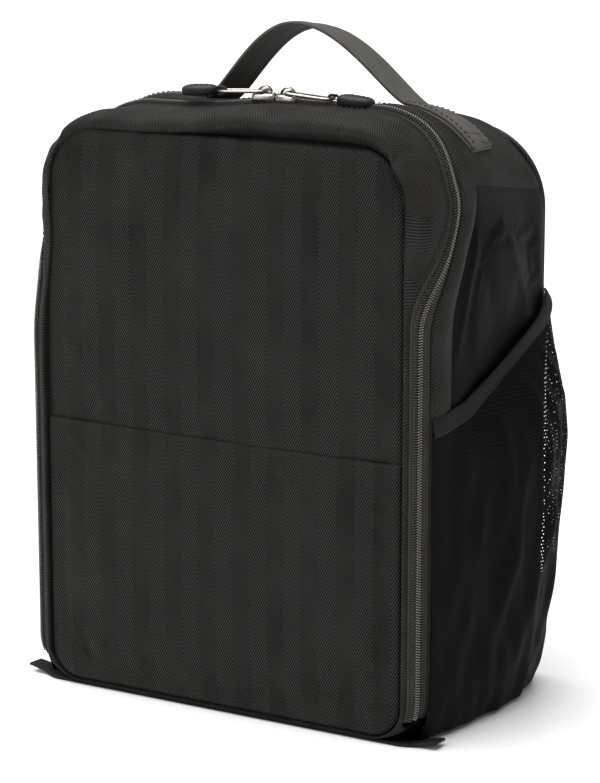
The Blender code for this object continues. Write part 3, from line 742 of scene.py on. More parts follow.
def puff_up(obj, held, cap):
    """Swell sewn cloth over its padding: a short simulation, its moves capped, then applied.

    held is 1 at a point that is sewn down and 0 where the cloth is free.
    """
    mesh = obj.data
    count = len(mesh.vertices)
    start = np.empty(count * 3)
    mesh.vertices.foreach_get("co", start)
    sewn = obj.vertex_groups.new(name="sewn")
    for index, weight in enumerate(np.ravel(held)):
        sewn.add([index], float(weight), "REPLACE")
    for modifier in obj.modifiers:
        modifier.show_viewport = False
    padding = obj.modifiers.new("padding", "CLOTH")
    settings = padding.settings
    settings.vertex_group_mass = "sewn"
    settings.quality = 5
    settings.mass = 0.3
    settings.tension_stiffness = settings.compression_stiffness = 15
    settings.shear_stiffness = 5
    settings.bending_stiffness = 0.5
    settings.shrink_min = SIM_SLACK
    settings.use_pressure = True
    settings.uniform_pressure_force = SIM_PRESSURE
    settings.effector_weights.gravity = 0
    padding.point_cache.frame_start, padding.point_cache.frame_end = 1, SIM_FRAMES
    scene = bpy.context.scene
    for number in range(1, SIM_FRAMES + 1):
        scene.frame_set(number)
    swollen = obj.evaluated_get(bpy.context.evaluated_depsgraph_get())
    end = np.empty(count * 3)
    swollen.data.vertices.foreach_get("co", end)
    move = (end - start).reshape(-1, 3)
    length = np.linalg.norm(move, axis=1, keepdims=True)
    move = move * cap * np.tanh(length / cap) / np.maximum(length, 1e-9)
    mesh.vertices.foreach_set("co", (start.reshape(-1, 3) + move).ravel())
    obj.modifiers.remove(padding)
    obj.vertex_groups.remove(sewn)
    for modifier in obj.modifiers:
        modifier.show_viewport = True
    scene.frame_set(1)
    mesh.update()


# ---- lid: front pads, rolled border ------------------------------------------------------------
FACE_HALF = HALF_WIDTH - EDGE_DROP
FACE_TOP = HEIGHT - EDGE_DROP
FACE_CORNER = TOP_RADIUS - EDGE_DROP * TOP_CORNER_SHARE
FACE_FOOT = BASE_LIFT + EDGE_DROP * BASE_SHARE
FACE_FOOT_CORNER = FOOT_RADIUS - EDGE_DROP * FOOT_CORNER_SHARE


def rounded_half(z, half, top, bottom, corner, foot_corner):
    """Half the width, at a height, of an upright face with rounded corners."""
    above = np.maximum(0.0, z - (top - corner))
    below = np.maximum(0.0, bottom + foot_corner - z)
    top_loss = corner - np.sqrt(np.maximum(0.0, corner ** 2 - above ** 2))
    foot_loss = foot_corner - np.sqrt(np.maximum(0.0, foot_corner ** 2 - below ** 2))
    return half - top_loss - foot_loss


def face_half_width(z, inset):
    return rounded_half(z, FACE_HALF - inset, FACE_TOP, FACE_FOOT, FACE_CORNER, FACE_FOOT_CORNER)


def face_edge_distance(x, z):
    """Distance inside the front face's rounded outline."""
    upper = z > (FACE_TOP + FACE_FOOT) / 2
    corner = np.where(upper, FACE_CORNER, FACE_FOOT_CORNER)
    limit = np.where(upper, FACE_TOP - z, z - FACE_FOOT)
    a = np.maximum(0.0, corner - (FACE_HALF - np.abs(x)))
    b = np.maximum(0.0, corner - limit)
    straight = np.minimum(FACE_HALF - np.abs(x), limit)
    return np.where((a > 0) & (b > 0), corner - np.hypot(a, b), straight)


PAD_CAP = 0.0022                                # the most that the padding lifts the front's cloth
PAD_PITCH, PAD_COLUMNS = 0.0026, 90
PAD_THICK = 0.0012
PAD_SINK = 0.0004                               # the panel's cloth behind the front plane
HEM_PROUD = 0.0011                              # the pocket's hem before the cloth above it
HEM_RADIUS, HEM_DEPTH = 0.0026, 0.0016
SEAM_RADIUS, SEAM_DEPTH = 0.006, 0.0022


def front_pad(name, bottom, top, bulge, seed, hem):
    """One sewn half of the front: flat cloth over padding, rounded over at its edges."""
    rows = int(round((top - bottom) / PAD_PITCH))
    z_share = 0.5 - 0.5 * np.cos(math.pi * np.linspace(0, 1, rows + 1))
    z_share = 0.55 * z_share + 0.45 * np.linspace(0, 1, rows + 1)
    z = bottom + (top - bottom) * z_share[::-1]
    across = np.sin(math.pi / 2 * np.linspace(-1, 1, PAD_COLUMNS + 1))
    across = 0.5 * across + 0.5 * np.linspace(-1, 1, PAD_COLUMNS + 1)
    zz = np.repeat(z[:, None], PAD_COLUMNS + 1, 1)
    xx = face_half_width(zz, 0.0004) * across[None, :]
    inside = np.maximum(face_edge_distance(xx, zz), 0.0)
    roof_side = smooth((zz - 0.27) / 0.03)
    dip = (0.0036 + 0.0014 * roof_side) * edge_fall(inside, 0.0062 + 0.0026 * roof_side, 2.2)
    if hem:
        seam, radius, depth, stand = top - zz, HEM_RADIUS, HEM_DEPTH, HEM_PROUD
    else:
        seam, radius, depth, stand = zz - bottom, SEAM_RADIUS, SEAM_DEPTH, 0.0
    dip = dip + depth * edge_fall(seam, radius)
    proud = bulge * smooth(inside / 0.06)
    uneven = 0.00035 * waves(xx, zz, 0.055, seed) + 0.00012 * waves(xx, zz, 0.018, seed + 1)
    yy = FRONT_Y + PAD_SINK + dip - proud - uneven * smooth(inside / 0.012) - stand
    pad = grid(name, stacked(xx, yy, zz), stacked(xx, zz), PAD_THICK)
    edge = np.minimum(inside, seam + 0.004)
    puff_up(pad, 1 - smooth((edge - 0.005) / 0.010), PAD_CAP)
    return pad


def make_front():
    upper = front_pad("front_pad_upper", SEAM_HEIGHT - 0.002, FACE_TOP - 0.0002, 0.0016, 3, False)
    place_piece(upper, TWILL, "twill_fabric", "lid", "front_panel_upper", fill=0.7)
    lower = front_pad("front_pad_lower", FACE_FOOT + 0.0002, SEAM_HEIGHT, 0.0010, 5, True)
    place_piece(lower, TWILL, "twill_fabric", "lid", "front_pocket_panel", fill=0.6)


NOTCH_RIGHT, NOTCH_LEFT = 7.2, -7.8             # stations where the border is pinched in
NOTCH_DEPTH, NOTCH_WIDTH = 0.8, 0.0045
# the band's section as (run, lift) keys: as a fat lip over the panel, and as a thin roll
LIP_KEYS = ((-0.0020, -0.0078), (0.0050, -0.0078), (0.0078, -0.0040), (0.0072, -0.0002),
            (0.0084, 0.0031), (0.0122, 0.0044), (0.0190, 0.0032))
ROLL_KEYS = ((-0.0012, -0.0034), (0.0002, -0.0026), (0.0005, -0.0010), (0.0006, 0.0003),
             (0.0012, 0.0011), (0.0020, 0.0012), (0.0027, 0.0010))
BORDER_FOLDS = (
    # (station, run) along each soft fold of the band, its width and height
    (((8.0, 0.020), (10.0, 0.015), (12.2, 0.0105), (14.8, 0.007)), 0.0032, 0.0016),
    (((8.6, 0.030), (10.6, 0.0235), (12.8, 0.0165), (14.8, 0.011)), 0.0026, -0.0016),
    (((7.4, 0.014), (8.8, 0.026), (9.6, 0.036)), 0.0030, -0.0010),
    (((5.4, 0.030), (6.6, 0.024), (7.3, 0.012)), 0.0030, -0.0009),
)


def lip_share(station):
    """1 where the border hangs over the panel as a fat lip, 0 where it's a thin roll."""
    right = smooth((NOTCH_RIGHT + 0.2 - station) / 1.3)
    left = smooth((station - NOTCH_LEFT + 0.4) / 4.6)
    return np.where(station > 0, right, left)


def make_border():
    """The rolled twill band: a lip that overhangs the panel's top, a thin roll elsewhere."""
    stations = stations_between(-BASE_MIDDLE, BASE_MIDDLE, 0.0028)[:-1]
    share = np.linspace(0, 1, 36)
    end = zip_run(stations) - (TAPE_WIDTH - 0.0010) * zip_share(stations)
    zero = 0 * end
    lip = lip_share(stations)
    place = length_at(stations)
    base = smooth((np.abs(stations) - 24.5) / 2.5)
    fat = 1 + 0.15 * waves(place, zero, 0.045, 11)
    for notch in (NOTCH_RIGHT, NOTCH_LEFT):
        fat = fat - NOTCH_DEPTH * hump(place, length_at(notch), NOTCH_WIDTH)
    thin = (1 - 0.8 * base) * (0.8 + 0.2 * fat)
    keys_run, keys_lift = [], []
    for (lip_run, lip_lift), (roll_run, roll_lift) in zip(LIP_KEYS, ROLL_KEYS):
        keys_run.append(lip * lip_run + (1 - lip) * roll_run)
        keys_lift.append(lip * lip_lift * (fat if lip_lift > 0 else 1)
                         + (1 - lip) * roll_lift * (thin if roll_lift > 0 else 1))
    keys_run += [np.maximum(0.52 * end, keys_run[-1] + 0.0002),
                 np.maximum(0.80 * end, keys_run[-1] + 0.0006), end]
    wide = smooth((end - 0.008) / 0.02)
    keys_lift += [0.0009 * thin + 0.0006 * wide, 0.0007 * thin + 0.0003 * wide, 0.0003 + zero]
    runs = spline(keys_run, share).T
    lift = spline(keys_lift, share).T
    place_grid = np.repeat(place[:, None], len(share), 1)
    free = np.sin(math.pi * share)[None, :] ** 0.7 * wide[:, None]
    calm = 1 - 0.7 * smooth((-8.0 - stations) / 2.0)[:, None]
    lift = lift + free * calm * 0.00055 * waves(place_grid, runs * 0.35, 0.03, 21)
    lift = lift + free * 0.00025 * waves(place_grid, runs * 0.7, 0.011, 22)
    for line, width, rise in BORDER_FOLDS:
        turned = [(length_at(a), b) for a, b in line]
        lift = lift + fold(place_grid, runs, turned, width, rise) * free
    border = shell_grid("lid_border_roll", stations, runs, lift, CLOTH_THICK, closed=True)
    place_piece(border, BAND, "twill_fabric", "lid", "lid_border", fill=0.5)


def make_lid_inside():
    """The padded inner face of the lid, which stands for its foam, lining and pocket sheet."""
    low_z, high_z = LID_FOOT + 0.002, FACE_TOP - 0.004
    rows, columns = 70, 50
    z = np.linspace(high_z, low_z, rows)[:, None] + np.zeros((1, columns))
    x = face_half_width(z, 0.004) * np.linspace(1, -1, columns)[None, :]
    inside = np.maximum(face_edge_distance(x, z) - 0.004, 0.0)
    y = LID_INNER_Y - 0.0030 * edge_fall(inside, 0.006) + 0.0004 * waves(x, z, 0.05, 8)
    pad = grid("lid_inner_pad", stacked(x, y, z), stacked(x, z), 0.0045)
    puff_up(pad, 1 - smooth((inside - 0.006) / 0.012), PAD_CAP)
    place_piece(pad, LOOP, "loop_lining", "lid", "lid_lining", "lid_foam", "front_pocket_back",
                fill=0.7)


# ---- zip ---------------------------------------------------------------------------------------
COIL_PITCH = 0.00135
COIL_WIRE = 0.0003
COIL_IN, COIL_OUT = 0.00020, 0.0032
COIL_LOW, COIL_HIGH = 0.0003, 0.00150
COIL_FILLER = 0.0012                            # height of the cord that fills each coil
COIL_STEPS = 9                                  # points in one turn
TAPE_TUCK = 0.0012                              # the tape's outer edge under the cloth
TAPE_RIDGE, RIDGE_OFFSET, RIDGE_WIDTH = 0.00035, 0.0043, 0.0008
HEAD_OFFSET, HEAD_LIFT, HEAD_LENGTH, HEAD_RADIUS = 0.00055, 0.0005, 0.0013, 0.00034


def make_tapes():
    """The zip's two tapes, each with a hump over the filler cord inside its coil."""
    stations = stations_between(-ZIP_END, ZIP_END, 0.003)
    line = zip_run(stations)[:, None]
    for body, sign in (("lid", -1), ("case", 1)):
        offsets = sign * np.linspace(TAPE_SLOT, TAPE_WIDTH + TAPE_TUCK, 15)[None, :]
        if sign < 0:
            offsets = offsets[:, ::-1]
        runs = line + offsets
        ridge = TAPE_RIDGE * hump(np.abs(offsets), RIDGE_OFFSET, RIDGE_WIDTH)
        filler = COIL_FILLER * smooth((COIL_OUT - np.abs(offsets)) / 0.0007)
        lift = np.broadcast_to(ridge + filler, runs.shape)
        tape = shell_grid("zip_tape_cloth_" + body, stations, runs, lift, 0.0007)
        place_piece(tape, ZIP_TAPE, "webbing", body, "zip_tape_" + body)


def zip_heading(station):
    """A short step along the zip at each station."""
    ahead = station_at(length_at(station) + 0.001)
    return surface(ahead, zip_run(station)) - surface(station, zip_run(station))


def make_coils():
    """Both rows of nylon coil, as one flattened helix each; their heads interlock."""
    ends = length_at(np.array([-ZIP_END, ZIP_END], float)) + np.array([0.002, -0.002])
    turns = int((ends[1] - ends[0]) / COIL_PITCH)
    phase = np.arange(turns * COIL_STEPS + 1) / COIL_STEPS
    middle = (COIL_OUT - COIL_IN) / 2
    for body, sign, shift in (("lid", -1, 0.0), ("case", 1, 0.5)):
        station = station_at(ends[0] + (phase + shift) * COIL_PITCH)
        offset = sign * (middle - (COIL_OUT - middle) * np.cos(2 * math.pi * phase))
        rise = 0.5 + 0.5 * np.sin(2 * math.pi * phase)
        height = COIL_LOW + COIL_WIRE + (COIL_HIGH - COIL_LOW) * rise
        centre = surface(station, zip_run(station) + offset, height)
        coil = tube("zip_teeth_" + body, centre, COIL_WIRE, zip_heading(station), sides=5)
        place_piece(coil, COIL, "zip_coil", body, "zip_coil_" + body)
        place = station_at(np.arange(ends[0] + shift * COIL_PITCH, ends[1], COIL_PITCH))
        normal = surface_normal(place, zip_run(place))
        centre = surface(place, zip_run(place) + sign * HEAD_OFFSET, COIL_HIGH + HEAD_LIFT)
        heads = stitches("zip_heads_" + body, centre, normal, HEAD_LENGTH, HEAD_RADIUS,
                         np.cross(zip_heading(place), normal))
        # the heads take the lighter material that paints the coil's glint
        place_piece(heads, COIL_HEAD_GLINT, "zip_coil", body)


PULL_DROOP = math.radians(3.5)
PLATE_TOP, PLATE_THICK = HEIGHT + 0.0040, 0.0008
WAIST = 0.80                                    # the plate's narrow end, as a share of its width
NECK_SHARE, NECK_Z, NECK_HALF = 0.72, HEIGHT + 0.0016, (0.0013, 0.0006, 0.0036)
# the slider's section as (share across, height under its plate) keys
PLATE_KEYS = ((-1.0, -0.0040), (-1.03, -0.0026), (-1.0, -0.0012), (-0.86, -0.0003), (-0.45, 0.0),
              (0.0, 0.00012), (0.45, 0.0), (0.86, -0.0003), (1.0, -0.0012), (1.03, -0.0026),
              (1.0, -0.0040))
ARCH_REACH, ARCH_RADIUS = 0.0040, 0.0014
ARCH_STRETCH = (0.42, 1.05, 0.42)               # the arch is a strap: thin, and wide in depth
WIRE_RADIUS, CORD_RADIUS = 0.0009, 0.0008
GRIP_FLAT = 0.35                                # share of the grip's height that is flat below
GROOVE_DEPTH, GROOVE_PITCH = 0.00022, 30        # the thumb grooves across the grip's top
Y_AXIS, Z_AXIS = np.eye(3)[1:]


def make_slider(side, word):
    """A nickel slider: waisted body with side flanges, and an arch that carries the pull."""
    node = "zip_slider_" + word
    lo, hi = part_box(node)
    middle = Vector(((lo.x + hi.x) / 2, (lo.y + hi.y) / 2, 0))
    half_length, half_width = (hi.x - lo.x) / 2, (hi.y - lo.y) / 2
    t = np.linspace(-1, 1, 24)
    width = half_width * (WAIST + (1 - WAIST) * smooth((side * t + 1) / 1.2))
    width = width * np.sqrt(np.clip(1 - np.abs(t) ** 9, 0.02, 1))
    shape = spline(PLATE_KEYS, np.linspace(0, 1, 13))
    points = stacked(middle.x + half_length * t[:, None],
                     middle.y + width[:, None] * shape[None, :, 0],
                     PLATE_TOP + shape[None, :, 1] - 0.0008 * np.abs(t[:, None]) ** 5)
    body = mesh_object("slider_body", points, grid_faces(len(t), len(shape), False))
    solid = body.modifiers.new("thickness", "SOLIDIFY")
    solid.thickness, solid.offset = PLATE_THICK, 0.0
    bpy.context.view_layer.update()
    graph = bpy.context.evaluated_depsgraph_get()
    body.data = bpy.data.meshes.new_from_object(body.evaluated_get(graph))
    body.modifiers.clear()
    angle = np.linspace(-0.12, math.pi + 0.12, 22)
    rise = hi.z - PLATE_TOP - 0.0006
    arch = stacked(middle.x + ARCH_REACH * np.cos(angle), middle.y,
                   PLATE_TOP - 0.0003 + rise * np.sin(angle))
    crown = tube("slider_arch", arch, ARCH_RADIUS, Y_AXIS, sides=10)
    rings = np.array([vert.co for vert in crown.data.vertices]).reshape(-1, 10, 3)
    core = rings.mean(axis=1, keepdims=True)
    rings = core + (rings - core) * np.array(ARCH_STRETCH)
    crown.data.vertices.foreach_set("co", rings.astype(np.float32).ravel())
    neck = rounded_block("slider_neck", (middle.x - side * half_length * NECK_SHARE, middle.y,
                                         NECK_Z), NECK_HALF, 6.0, 4)
    under = rounded_block("slider_under", (middle.x, middle.y, lo.z + 0.0004),
                          (half_length * 0.96, half_width * 0.9, 0.0004), 5.0, 6)
    slider = joined("slider_" + word, body, crown, neck, under)
    place_piece(slider, NICKEL, "nickel", "slider_" + word, node)


def make_pull(side, word):
    """An oblong wire loop, its cord and the moulded grip."""
    lo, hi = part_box("zip_pull_" + word)
    middle, reach = (lo + hi) / 2, (hi - lo) / 2
    x, y = squared_circle(np.linspace(0, 2 * math.pi, 72, endpoint=False), 0.32)
    path = stacked(x * (reach.x - WIRE_RADIUS) + middle.x, y * (reach.y - WIRE_RADIUS) + middle.y,
                   middle.z)
    pull = tube("pull_wire_" + word, path, WIRE_RADIUS, Z_AXIS, sides=10, closed=True)
    place_piece(pull, NICKEL, "nickel", "pull_" + word, "zip_pull_" + word)
    lo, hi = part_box("pull_cord_" + word)
    turn = (hi.z - lo.z) / 2 - CORD_RADIUS
    end, tail = (lo.x + CORD_RADIUS, hi.x) if side > 0 else (hi.x - CORD_RADIUS, lo.x)
    hinge_x = end + side * turn
    angle = np.linspace(-math.pi / 2, -3 * math.pi / 2, 14)
    loop_x = np.concatenate(([tail], hinge_x + side * turn * np.cos(angle), [tail]))
    loop_z = np.concatenate(([-turn], turn * np.sin(angle), [turn])) + (lo.z + hi.z) / 2
    path = stacked(loop_x, (lo.y + hi.y) / 2, loop_z)
    cord = tube("pull_loop_" + word, path, CORD_RADIUS, Y_AXIS)
    place_piece(cord, THREAD, "webbing", "grip_" + word, "pull_cord_" + word)
    lo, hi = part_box("pull_grip_" + word)
    middle, reach = (lo + hi) / 2, (hi - lo) / 2
    grip = rounded_block("grip_dome_" + word, middle, reach, 2.6, 14)
    for vert in grip.data.vertices:
        share = (vert.co.z - lo.z) / (hi.z - lo.z)
        if share < GRIP_FLAT:
            height = 0.20 + 0.15 * (share / GRIP_FLAT) ** 2
            vert.co.z = lo.z + (hi.z - lo.z) * height - 0.0008
        along = (vert.co.x - middle.x) / reach.x
        if share > 0.6 and abs(along) < 0.55:
            groove = GROOVE_DEPTH * (1 + math.cos(along * GROOVE_PITCH))
            vert.co.z -= groove * smooth((share - 0.6) / 0.3)
    place_piece(grip, RUBBER, "grip_rubber", "grip_" + word, "pull_grip_" + word)


def droop(side, word):
    """The pull and its grip rest a little below level, turned about the pull's inner bar."""
    lo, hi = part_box("zip_pull_" + word)
    bar_x = lo.x + WIRE_RADIUS if side > 0 else hi.x - WIRE_RADIUS
    bar = Vector((bar_x, 0.0, (lo.z + hi.z) / 2))
    turn = (Matrix.Translation(bar) @ Matrix.Rotation(side * PULL_DROOP, 4, "Y")
            @ Matrix.Translation(-bar))
    for name in ("pull_wire_", "pull_loop_", "grip_dome_"):
        bpy.data.objects[name + word].data.transform(turn)


# ---- case shell --------------------------------------------------------------------------------
BAND_WIDTH = 0.016
TWILL_END = 9.45                                # the roof's cloth ends a little up the corner
SEAM_LIFT, SEAM_REACH = 0.0009, 0.016
SEAM_UNDER = 0.0022                             # how far each cloth runs on under its neighbour
CLOTH_TUCK = 0.0008                             # how far each cloth runs on over the zip's tape


def tucked(beyond):
    """Sinking of a cloth's edge into its seam; beyond is the length past the seam."""
    return 0.0009 * smooth((beyond + 0.0014) / 0.0036)


def seam_station(past):
    return station_at(length_at(TWILL_END) + past)


def past_seam(length):
    """Length past the seam between the roof's cloth and the side's."""
    return np.abs(length) - length_at(TWILL_END)


def seamed(lift, inside, reach):
    """A cloth's lift, brought to its seam's height within a reach of the seam."""
    return SEAM_LIFT + (lift - SEAM_LIFT) * smooth(inside / reach)


def tape_edge(stations, share=1.0):
    """Run where the case's cloth starts, a little over the zip's tape."""
    return (zip_run(stations) + (TAPE_WIDTH - CLOTH_TUCK) * share)[:, None]


def band_end(station):
    """Run where the twill band behind the zip gives way to the smooth side panel."""
    return zip_run(station) + TAPE_WIDTH + BAND_WIDTH


def make_roof():
    """Twill roof, with the corner turns, from the zip's tape to the back seam."""
    edge = seam_station(SEAM_UNDER)
    stations = stations_between(-edge, edge, 0.0022)
    start = tape_edge(stations)
    runs = start + (LAST_RUN - GAP - start) * np.linspace(0, 1, 40)[None, :]
    place = length_at(stations)[:, None] + 0 * runs
    lift = 0.0011 + hump(runs - start, 0.0035, 0.0022) * 0.0009
    lift = lift + 0.0006 * waves(place, runs, 0.05, 31)
    lift = lift - 0.0012 * (1 - smooth((runs - start) / 0.0022))
    lift = seamed(lift, -past_seam(place), SEAM_REACH) - tucked(past_seam(place))
    roof = shell_grid("roof_cloth", stations, runs, lift, 0.0012)
    place_piece(roof, BAND, "twill_fabric", "case", "top_panel", fill=0.6)


SIDE_FOLDS = (
    # (height, depth position) along each soft drapery fold, width and height of the fold
    (((0.262, 0.004), (0.243, 0.019), (0.217, 0.036), (0.192, 0.047)), 0.0075, 0.0017),
    (((0.245, -0.012), (0.215, -0.002), (0.190, 0.004)), 0.011, -0.0014),
    (((0.285, 0.030), (0.255, 0.042), (0.225, 0.052)), 0.010, -0.0012),
    (((0.276, -0.012), (0.274, 0.020), (0.273, 0.055)), 0.006, -0.0013),
)
RIDGE = ((0.2828, -0.0236), (0.2517, -0.0204), (0.2288, -0.0303), (0.2055, -0.0384),
         (0.1828, -0.0483), (0.1600, -0.0570))
SIDE_CAP = 0.0018                               # the most that the padding lifts the side's cloth
FOOT_SEAM = SIDE_END + 1.6                      # the side's cloth meets the base's here


def make_side(side, word):
    """Smooth nylon side with its drapery folds, and the twill band between it and the zip."""
    stations = stations_between(seam_station(-SEAM_UNDER), FOOT_SEAM, 0.0025)
    if side < 0:
        stations = -stations[::-1]
    start = tape_edge(stations)
    seam = band_end(stations)[:, None]
    runs = start + (seam + SEAM_UNDER - start) * np.linspace(0, 1, 16)[None, :]
    along = length_at(stations)[:, None] + 0 * runs
    height = outline(stations[:, None] + 0 * runs, *profile(runs))[1]
    slack = smooth((height - 0.14) / 0.08)
    crown = np.sin(math.pi * np.clip((runs - start) / (seam - start), 0, 1)) ** 0.8
    lift = 0.0004 + (0.0005 + 0.0014 * slack) * crown
    lift = lift + 0.0006 * slack * waves(along, 0.3 * runs, 0.024, 41 + side) * crown
    lift = seamed(lift, past_seam(along), SEAM_REACH)
    lift = lift - np.maximum(tucked(-past_seam(along)), tucked(runs - seam))
    band = shell_grid("side_band_" + word, stations, runs, lift, CLOTH_THICK)
    place_piece(band, BAND, "twill_fabric", "case", fill=0.4)

    share = np.linspace(0, 1, 52)[None, :]
    runs = seam - SEAM_UNDER + (LAST_RUN - GAP - seam + SEAM_UNDER) * share
    along = length_at(stations)[:, None] + 0 * runs
    y, drop = profile(runs)
    height = outline(stations[:, None] + 0 * runs, y, drop)[1]
    lift = 0.0008 + 0.0012 * np.sin(math.pi * np.clip((runs - seam) / (LAST_RUN - seam), 0, 1))
    lift = lift + 0.00045 * waves(along, runs, 0.06, 51 + side)
    for line, width, rise in SIDE_FOLDS:
        lift = lift + fold(height, y, line, width, rise)
    lift = lift + fold(height, y, RIDGE, 0.0030, 0.0015 * slack.max())
    lift = 0.0006 + (lift - 0.0006) * smooth((runs - seam) / 0.006)
    lift = seamed(lift, past_seam(along), 0.020)
    lift = lift - np.maximum(tucked(-past_seam(along)), tucked(seam - runs))
    cloth = shell_grid("side_cloth_" + word, stations, runs, lift, CLOTH_THICK)
    free = smooth((runs - seam - 0.010) / 0.012) * smooth((LAST_RUN - runs - 0.008) / 0.012)
    free = free * smooth((past_seam(along) - 0.010) / 0.015)
    puff_up(cloth, 1 - free * smooth((height - mouth_height(y) - 0.006) / 0.02), SIDE_CAP)
    place_piece(cloth, NYLON, "shell_fabric", "case", "side_panel_" + word, fill=0.5)


def make_base():
    """Nylon base from foot corner to foot corner, a little baggy between them."""
    half_way = stations_between(FOOT_SEAM, BASE_MIDDLE, 0.004)
    stations = np.concatenate((half_way, -half_way[::-1][1:]))
    start = tape_edge(stations, zip_share(stations))
    runs = start + (LAST_RUN - GAP - start) * np.linspace(0, 1, 36)[None, :]
    place = np.broadcast_to(stations[:, None], runs.shape)
    points = surface(place, runs, 0.0002)
    points[..., 2] = np.maximum(points[..., 2], 0.0001)
    half = length_at(np.abs(place))
    around = np.where(place >= 0, half, 2 * FINE_LENGTHS[-1] - half)
    base = grid("base_cloth", points, stacked(around, runs), 0.0012)
    place_piece(base, NYLON, "shell_fabric", "case", "bottom_panel", fill=0.4)


BACK_CHANNELS = (0.085, 0.165, 0.245)           # heights of the sewn lines
BACK_PUFF, CHANNEL_DEPTH, CHANNEL_WIDTH = 0.0036, 0.0030, 0.0032
WELT_PROUD, WELT_RADIUS = 0.0006, 0.0015
LINING_THICK = 0.0050


def back_outline(station, inset):
    y = np.full_like(np.asarray(station, float), BACK_Y)
    return outline(station, y, BACK_DROP + inset)


def make_back():
    """Padded back with three sewn channels, and a corded welt round its seam."""
    rings = np.linspace(0, 1, 40)
    stations = stations_between(-BASE_MIDDLE, BASE_MIDDLE, 0.004)[:-1]
    edge_x, edge_z = back_outline(stations, 0.0002)
    centre_z = (edge_z.max() + edge_z.min()) / 2
    inner = 0.985 * (1 - rings) ** 0.9 + 0.015
    x = edge_x[:, None] * inner[None, :]
    z = centre_z + (edge_z[:, None] - centre_z) * inner[None, :]
    inset = (1 - inner[None, :]) * 0.11
    puff = BACK_PUFF * smooth(inset / 0.022)
    for channel in BACK_CHANNELS:
        groove = CHANNEL_DEPTH * hump(z, channel, CHANNEL_WIDTH)
        puff = puff - groove * smooth((0.098 - np.abs(x)) / 0.012)
    y = BACK_Y - 0.0012 + puff + 0.0003 * waves(x, z, 0.04, 61)
    uv = stacked(x, z)
    back = grid("back_pad", stacked(x, y, z), np.concatenate((uv, uv[:1])), 0.0012, closed=True)
    shape = bmesh.new()
    shape.from_mesh(back.data)
    shape.verts.ensure_lookup_table()
    last = [shape.verts[i * len(rings) + len(rings) - 1] for i in range(len(stations))]
    shape.faces.new(last[::-1])
    bmesh.ops.recalc_face_normals(shape, faces=shape.faces)
    shape.to_mesh(back.data)
    shape.free()
    place_piece(back, NYLON, "shell_fabric", "case", "back_panel", fill=0.6)
    x, z = back_outline(stations, -WELT_PROUD)
    path = stacked(x, BACK_Y - WELT_PROUD, np.maximum(z, 0.0016))
    welt = tube("back_welt", path, WELT_RADIUS, Y_AXIS, closed=True)
    place_piece(welt, THREAD, "webbing", "case")


def make_inside():
    """The padded walls' inner faces: each stands for its lining and the foam behind it."""
    back = run_at(high("back_foam").y - 0.0085)
    corner, side, foot = CORNER_END, SIDE_END, SIDE_END + 0.1
    half_way = stations_between(foot, BASE_MIDDLE, 0.008)
    walls = (
        ("roof_padding", "top_", "", stations_between(-corner + 0.1, corner - 0.1, 0.008)),
        ("side_padding_right", "side_", "_right",
         stations_between(corner + 0.1, side - 0.1, 0.008)),
        ("side_padding_left", "side_", "_left",
         stations_between(-side + 0.1, -corner - 0.1, 0.008)),
        ("base_padding", "bottom_", "", np.concatenate((half_way, -half_way[::-1][1:]))),
    )
    for name, first, last, stations in walls:
        start = np.maximum(zip_run(stations) + TAPE_WIDTH + 0.0016, 0.012)[:, None]
        runs = start + (back - start) * np.linspace(0, 1, 24)[None, :]
        depth = WALL - 0.0045 * edge_fall(runs - start, 0.005)
        place = np.broadcast_to(stations[:, None], runs.shape)
        y, drop = profile(runs)
        x, z = settle(*outline(place, y, drop, depth), place, y)
        pad = grid(name, stacked(x, y, z), stacked(length_at(place), runs), LINING_THICK,
                   outward=True)
        place_piece(pad, LOOP, "loop_lining", "case", first + "lining" + last,
                    first + "foam" + last, fill=0.7)
    lo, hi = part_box("back_lining")
    z = np.linspace(lo.z + 0.001, hi.z - 0.001, 70)[:, None]
    half = rounded_half(z, hi.x - 0.001, hi.z - 0.001, lo.z + 0.001,
                        TOP_RADIUS - WALL, FOOT_RADIUS - WALL)
    x = half * np.linspace(-1, 1, 60)[None, :]
    edge = np.minimum(half - np.abs(x), np.minimum(z - lo.z, hi.z - z) - 0.001)
    y = lo.y + 0.0035 * edge_fall(edge, 0.006) + 0.0004 * waves(x, z, 0.05, 9)
    pad = grid("back_padding", stacked(x, y, z), stacked(x, z), LINING_THICK)
    place_piece(pad, LOOP, "loop_lining", "case", "back_lining", "back_foam", fill=0.7)


# ---- handle ------------------------------------------------------------------------------------
HANDLE_ROOTS = (-0.046, 0.072)
HANDLE_CROWN_X = 0.005
HANDLE_BEND = 1.4
HANDLE_TOP = high("handle_strap").z
HANDLE_END_STATION = 7.4
STRAP_LIFT, STRAP_THICK = 0.0019, 0.0018
HANDLE_SKEW = -0.25                             # stations from the end's middle to its back corner
STRAP_BANDS = 0.00035                           # height of the strap's two lengthwise bands
STRAP_EDGE = 0.0002
PATCH_LIFT, PATCH_THICK = 0.0018, 0.0014
THREAD_LIFT = 0.0002


def roof_station(x):
    """Station above a place across the roof or round its corner, level with the strap."""
    stations = np.linspace(-CORNER_END, CORNER_END, 1201)
    return np.interp(x, surface(stations, run_at(HANDLE_Y))[:, 0], stations)


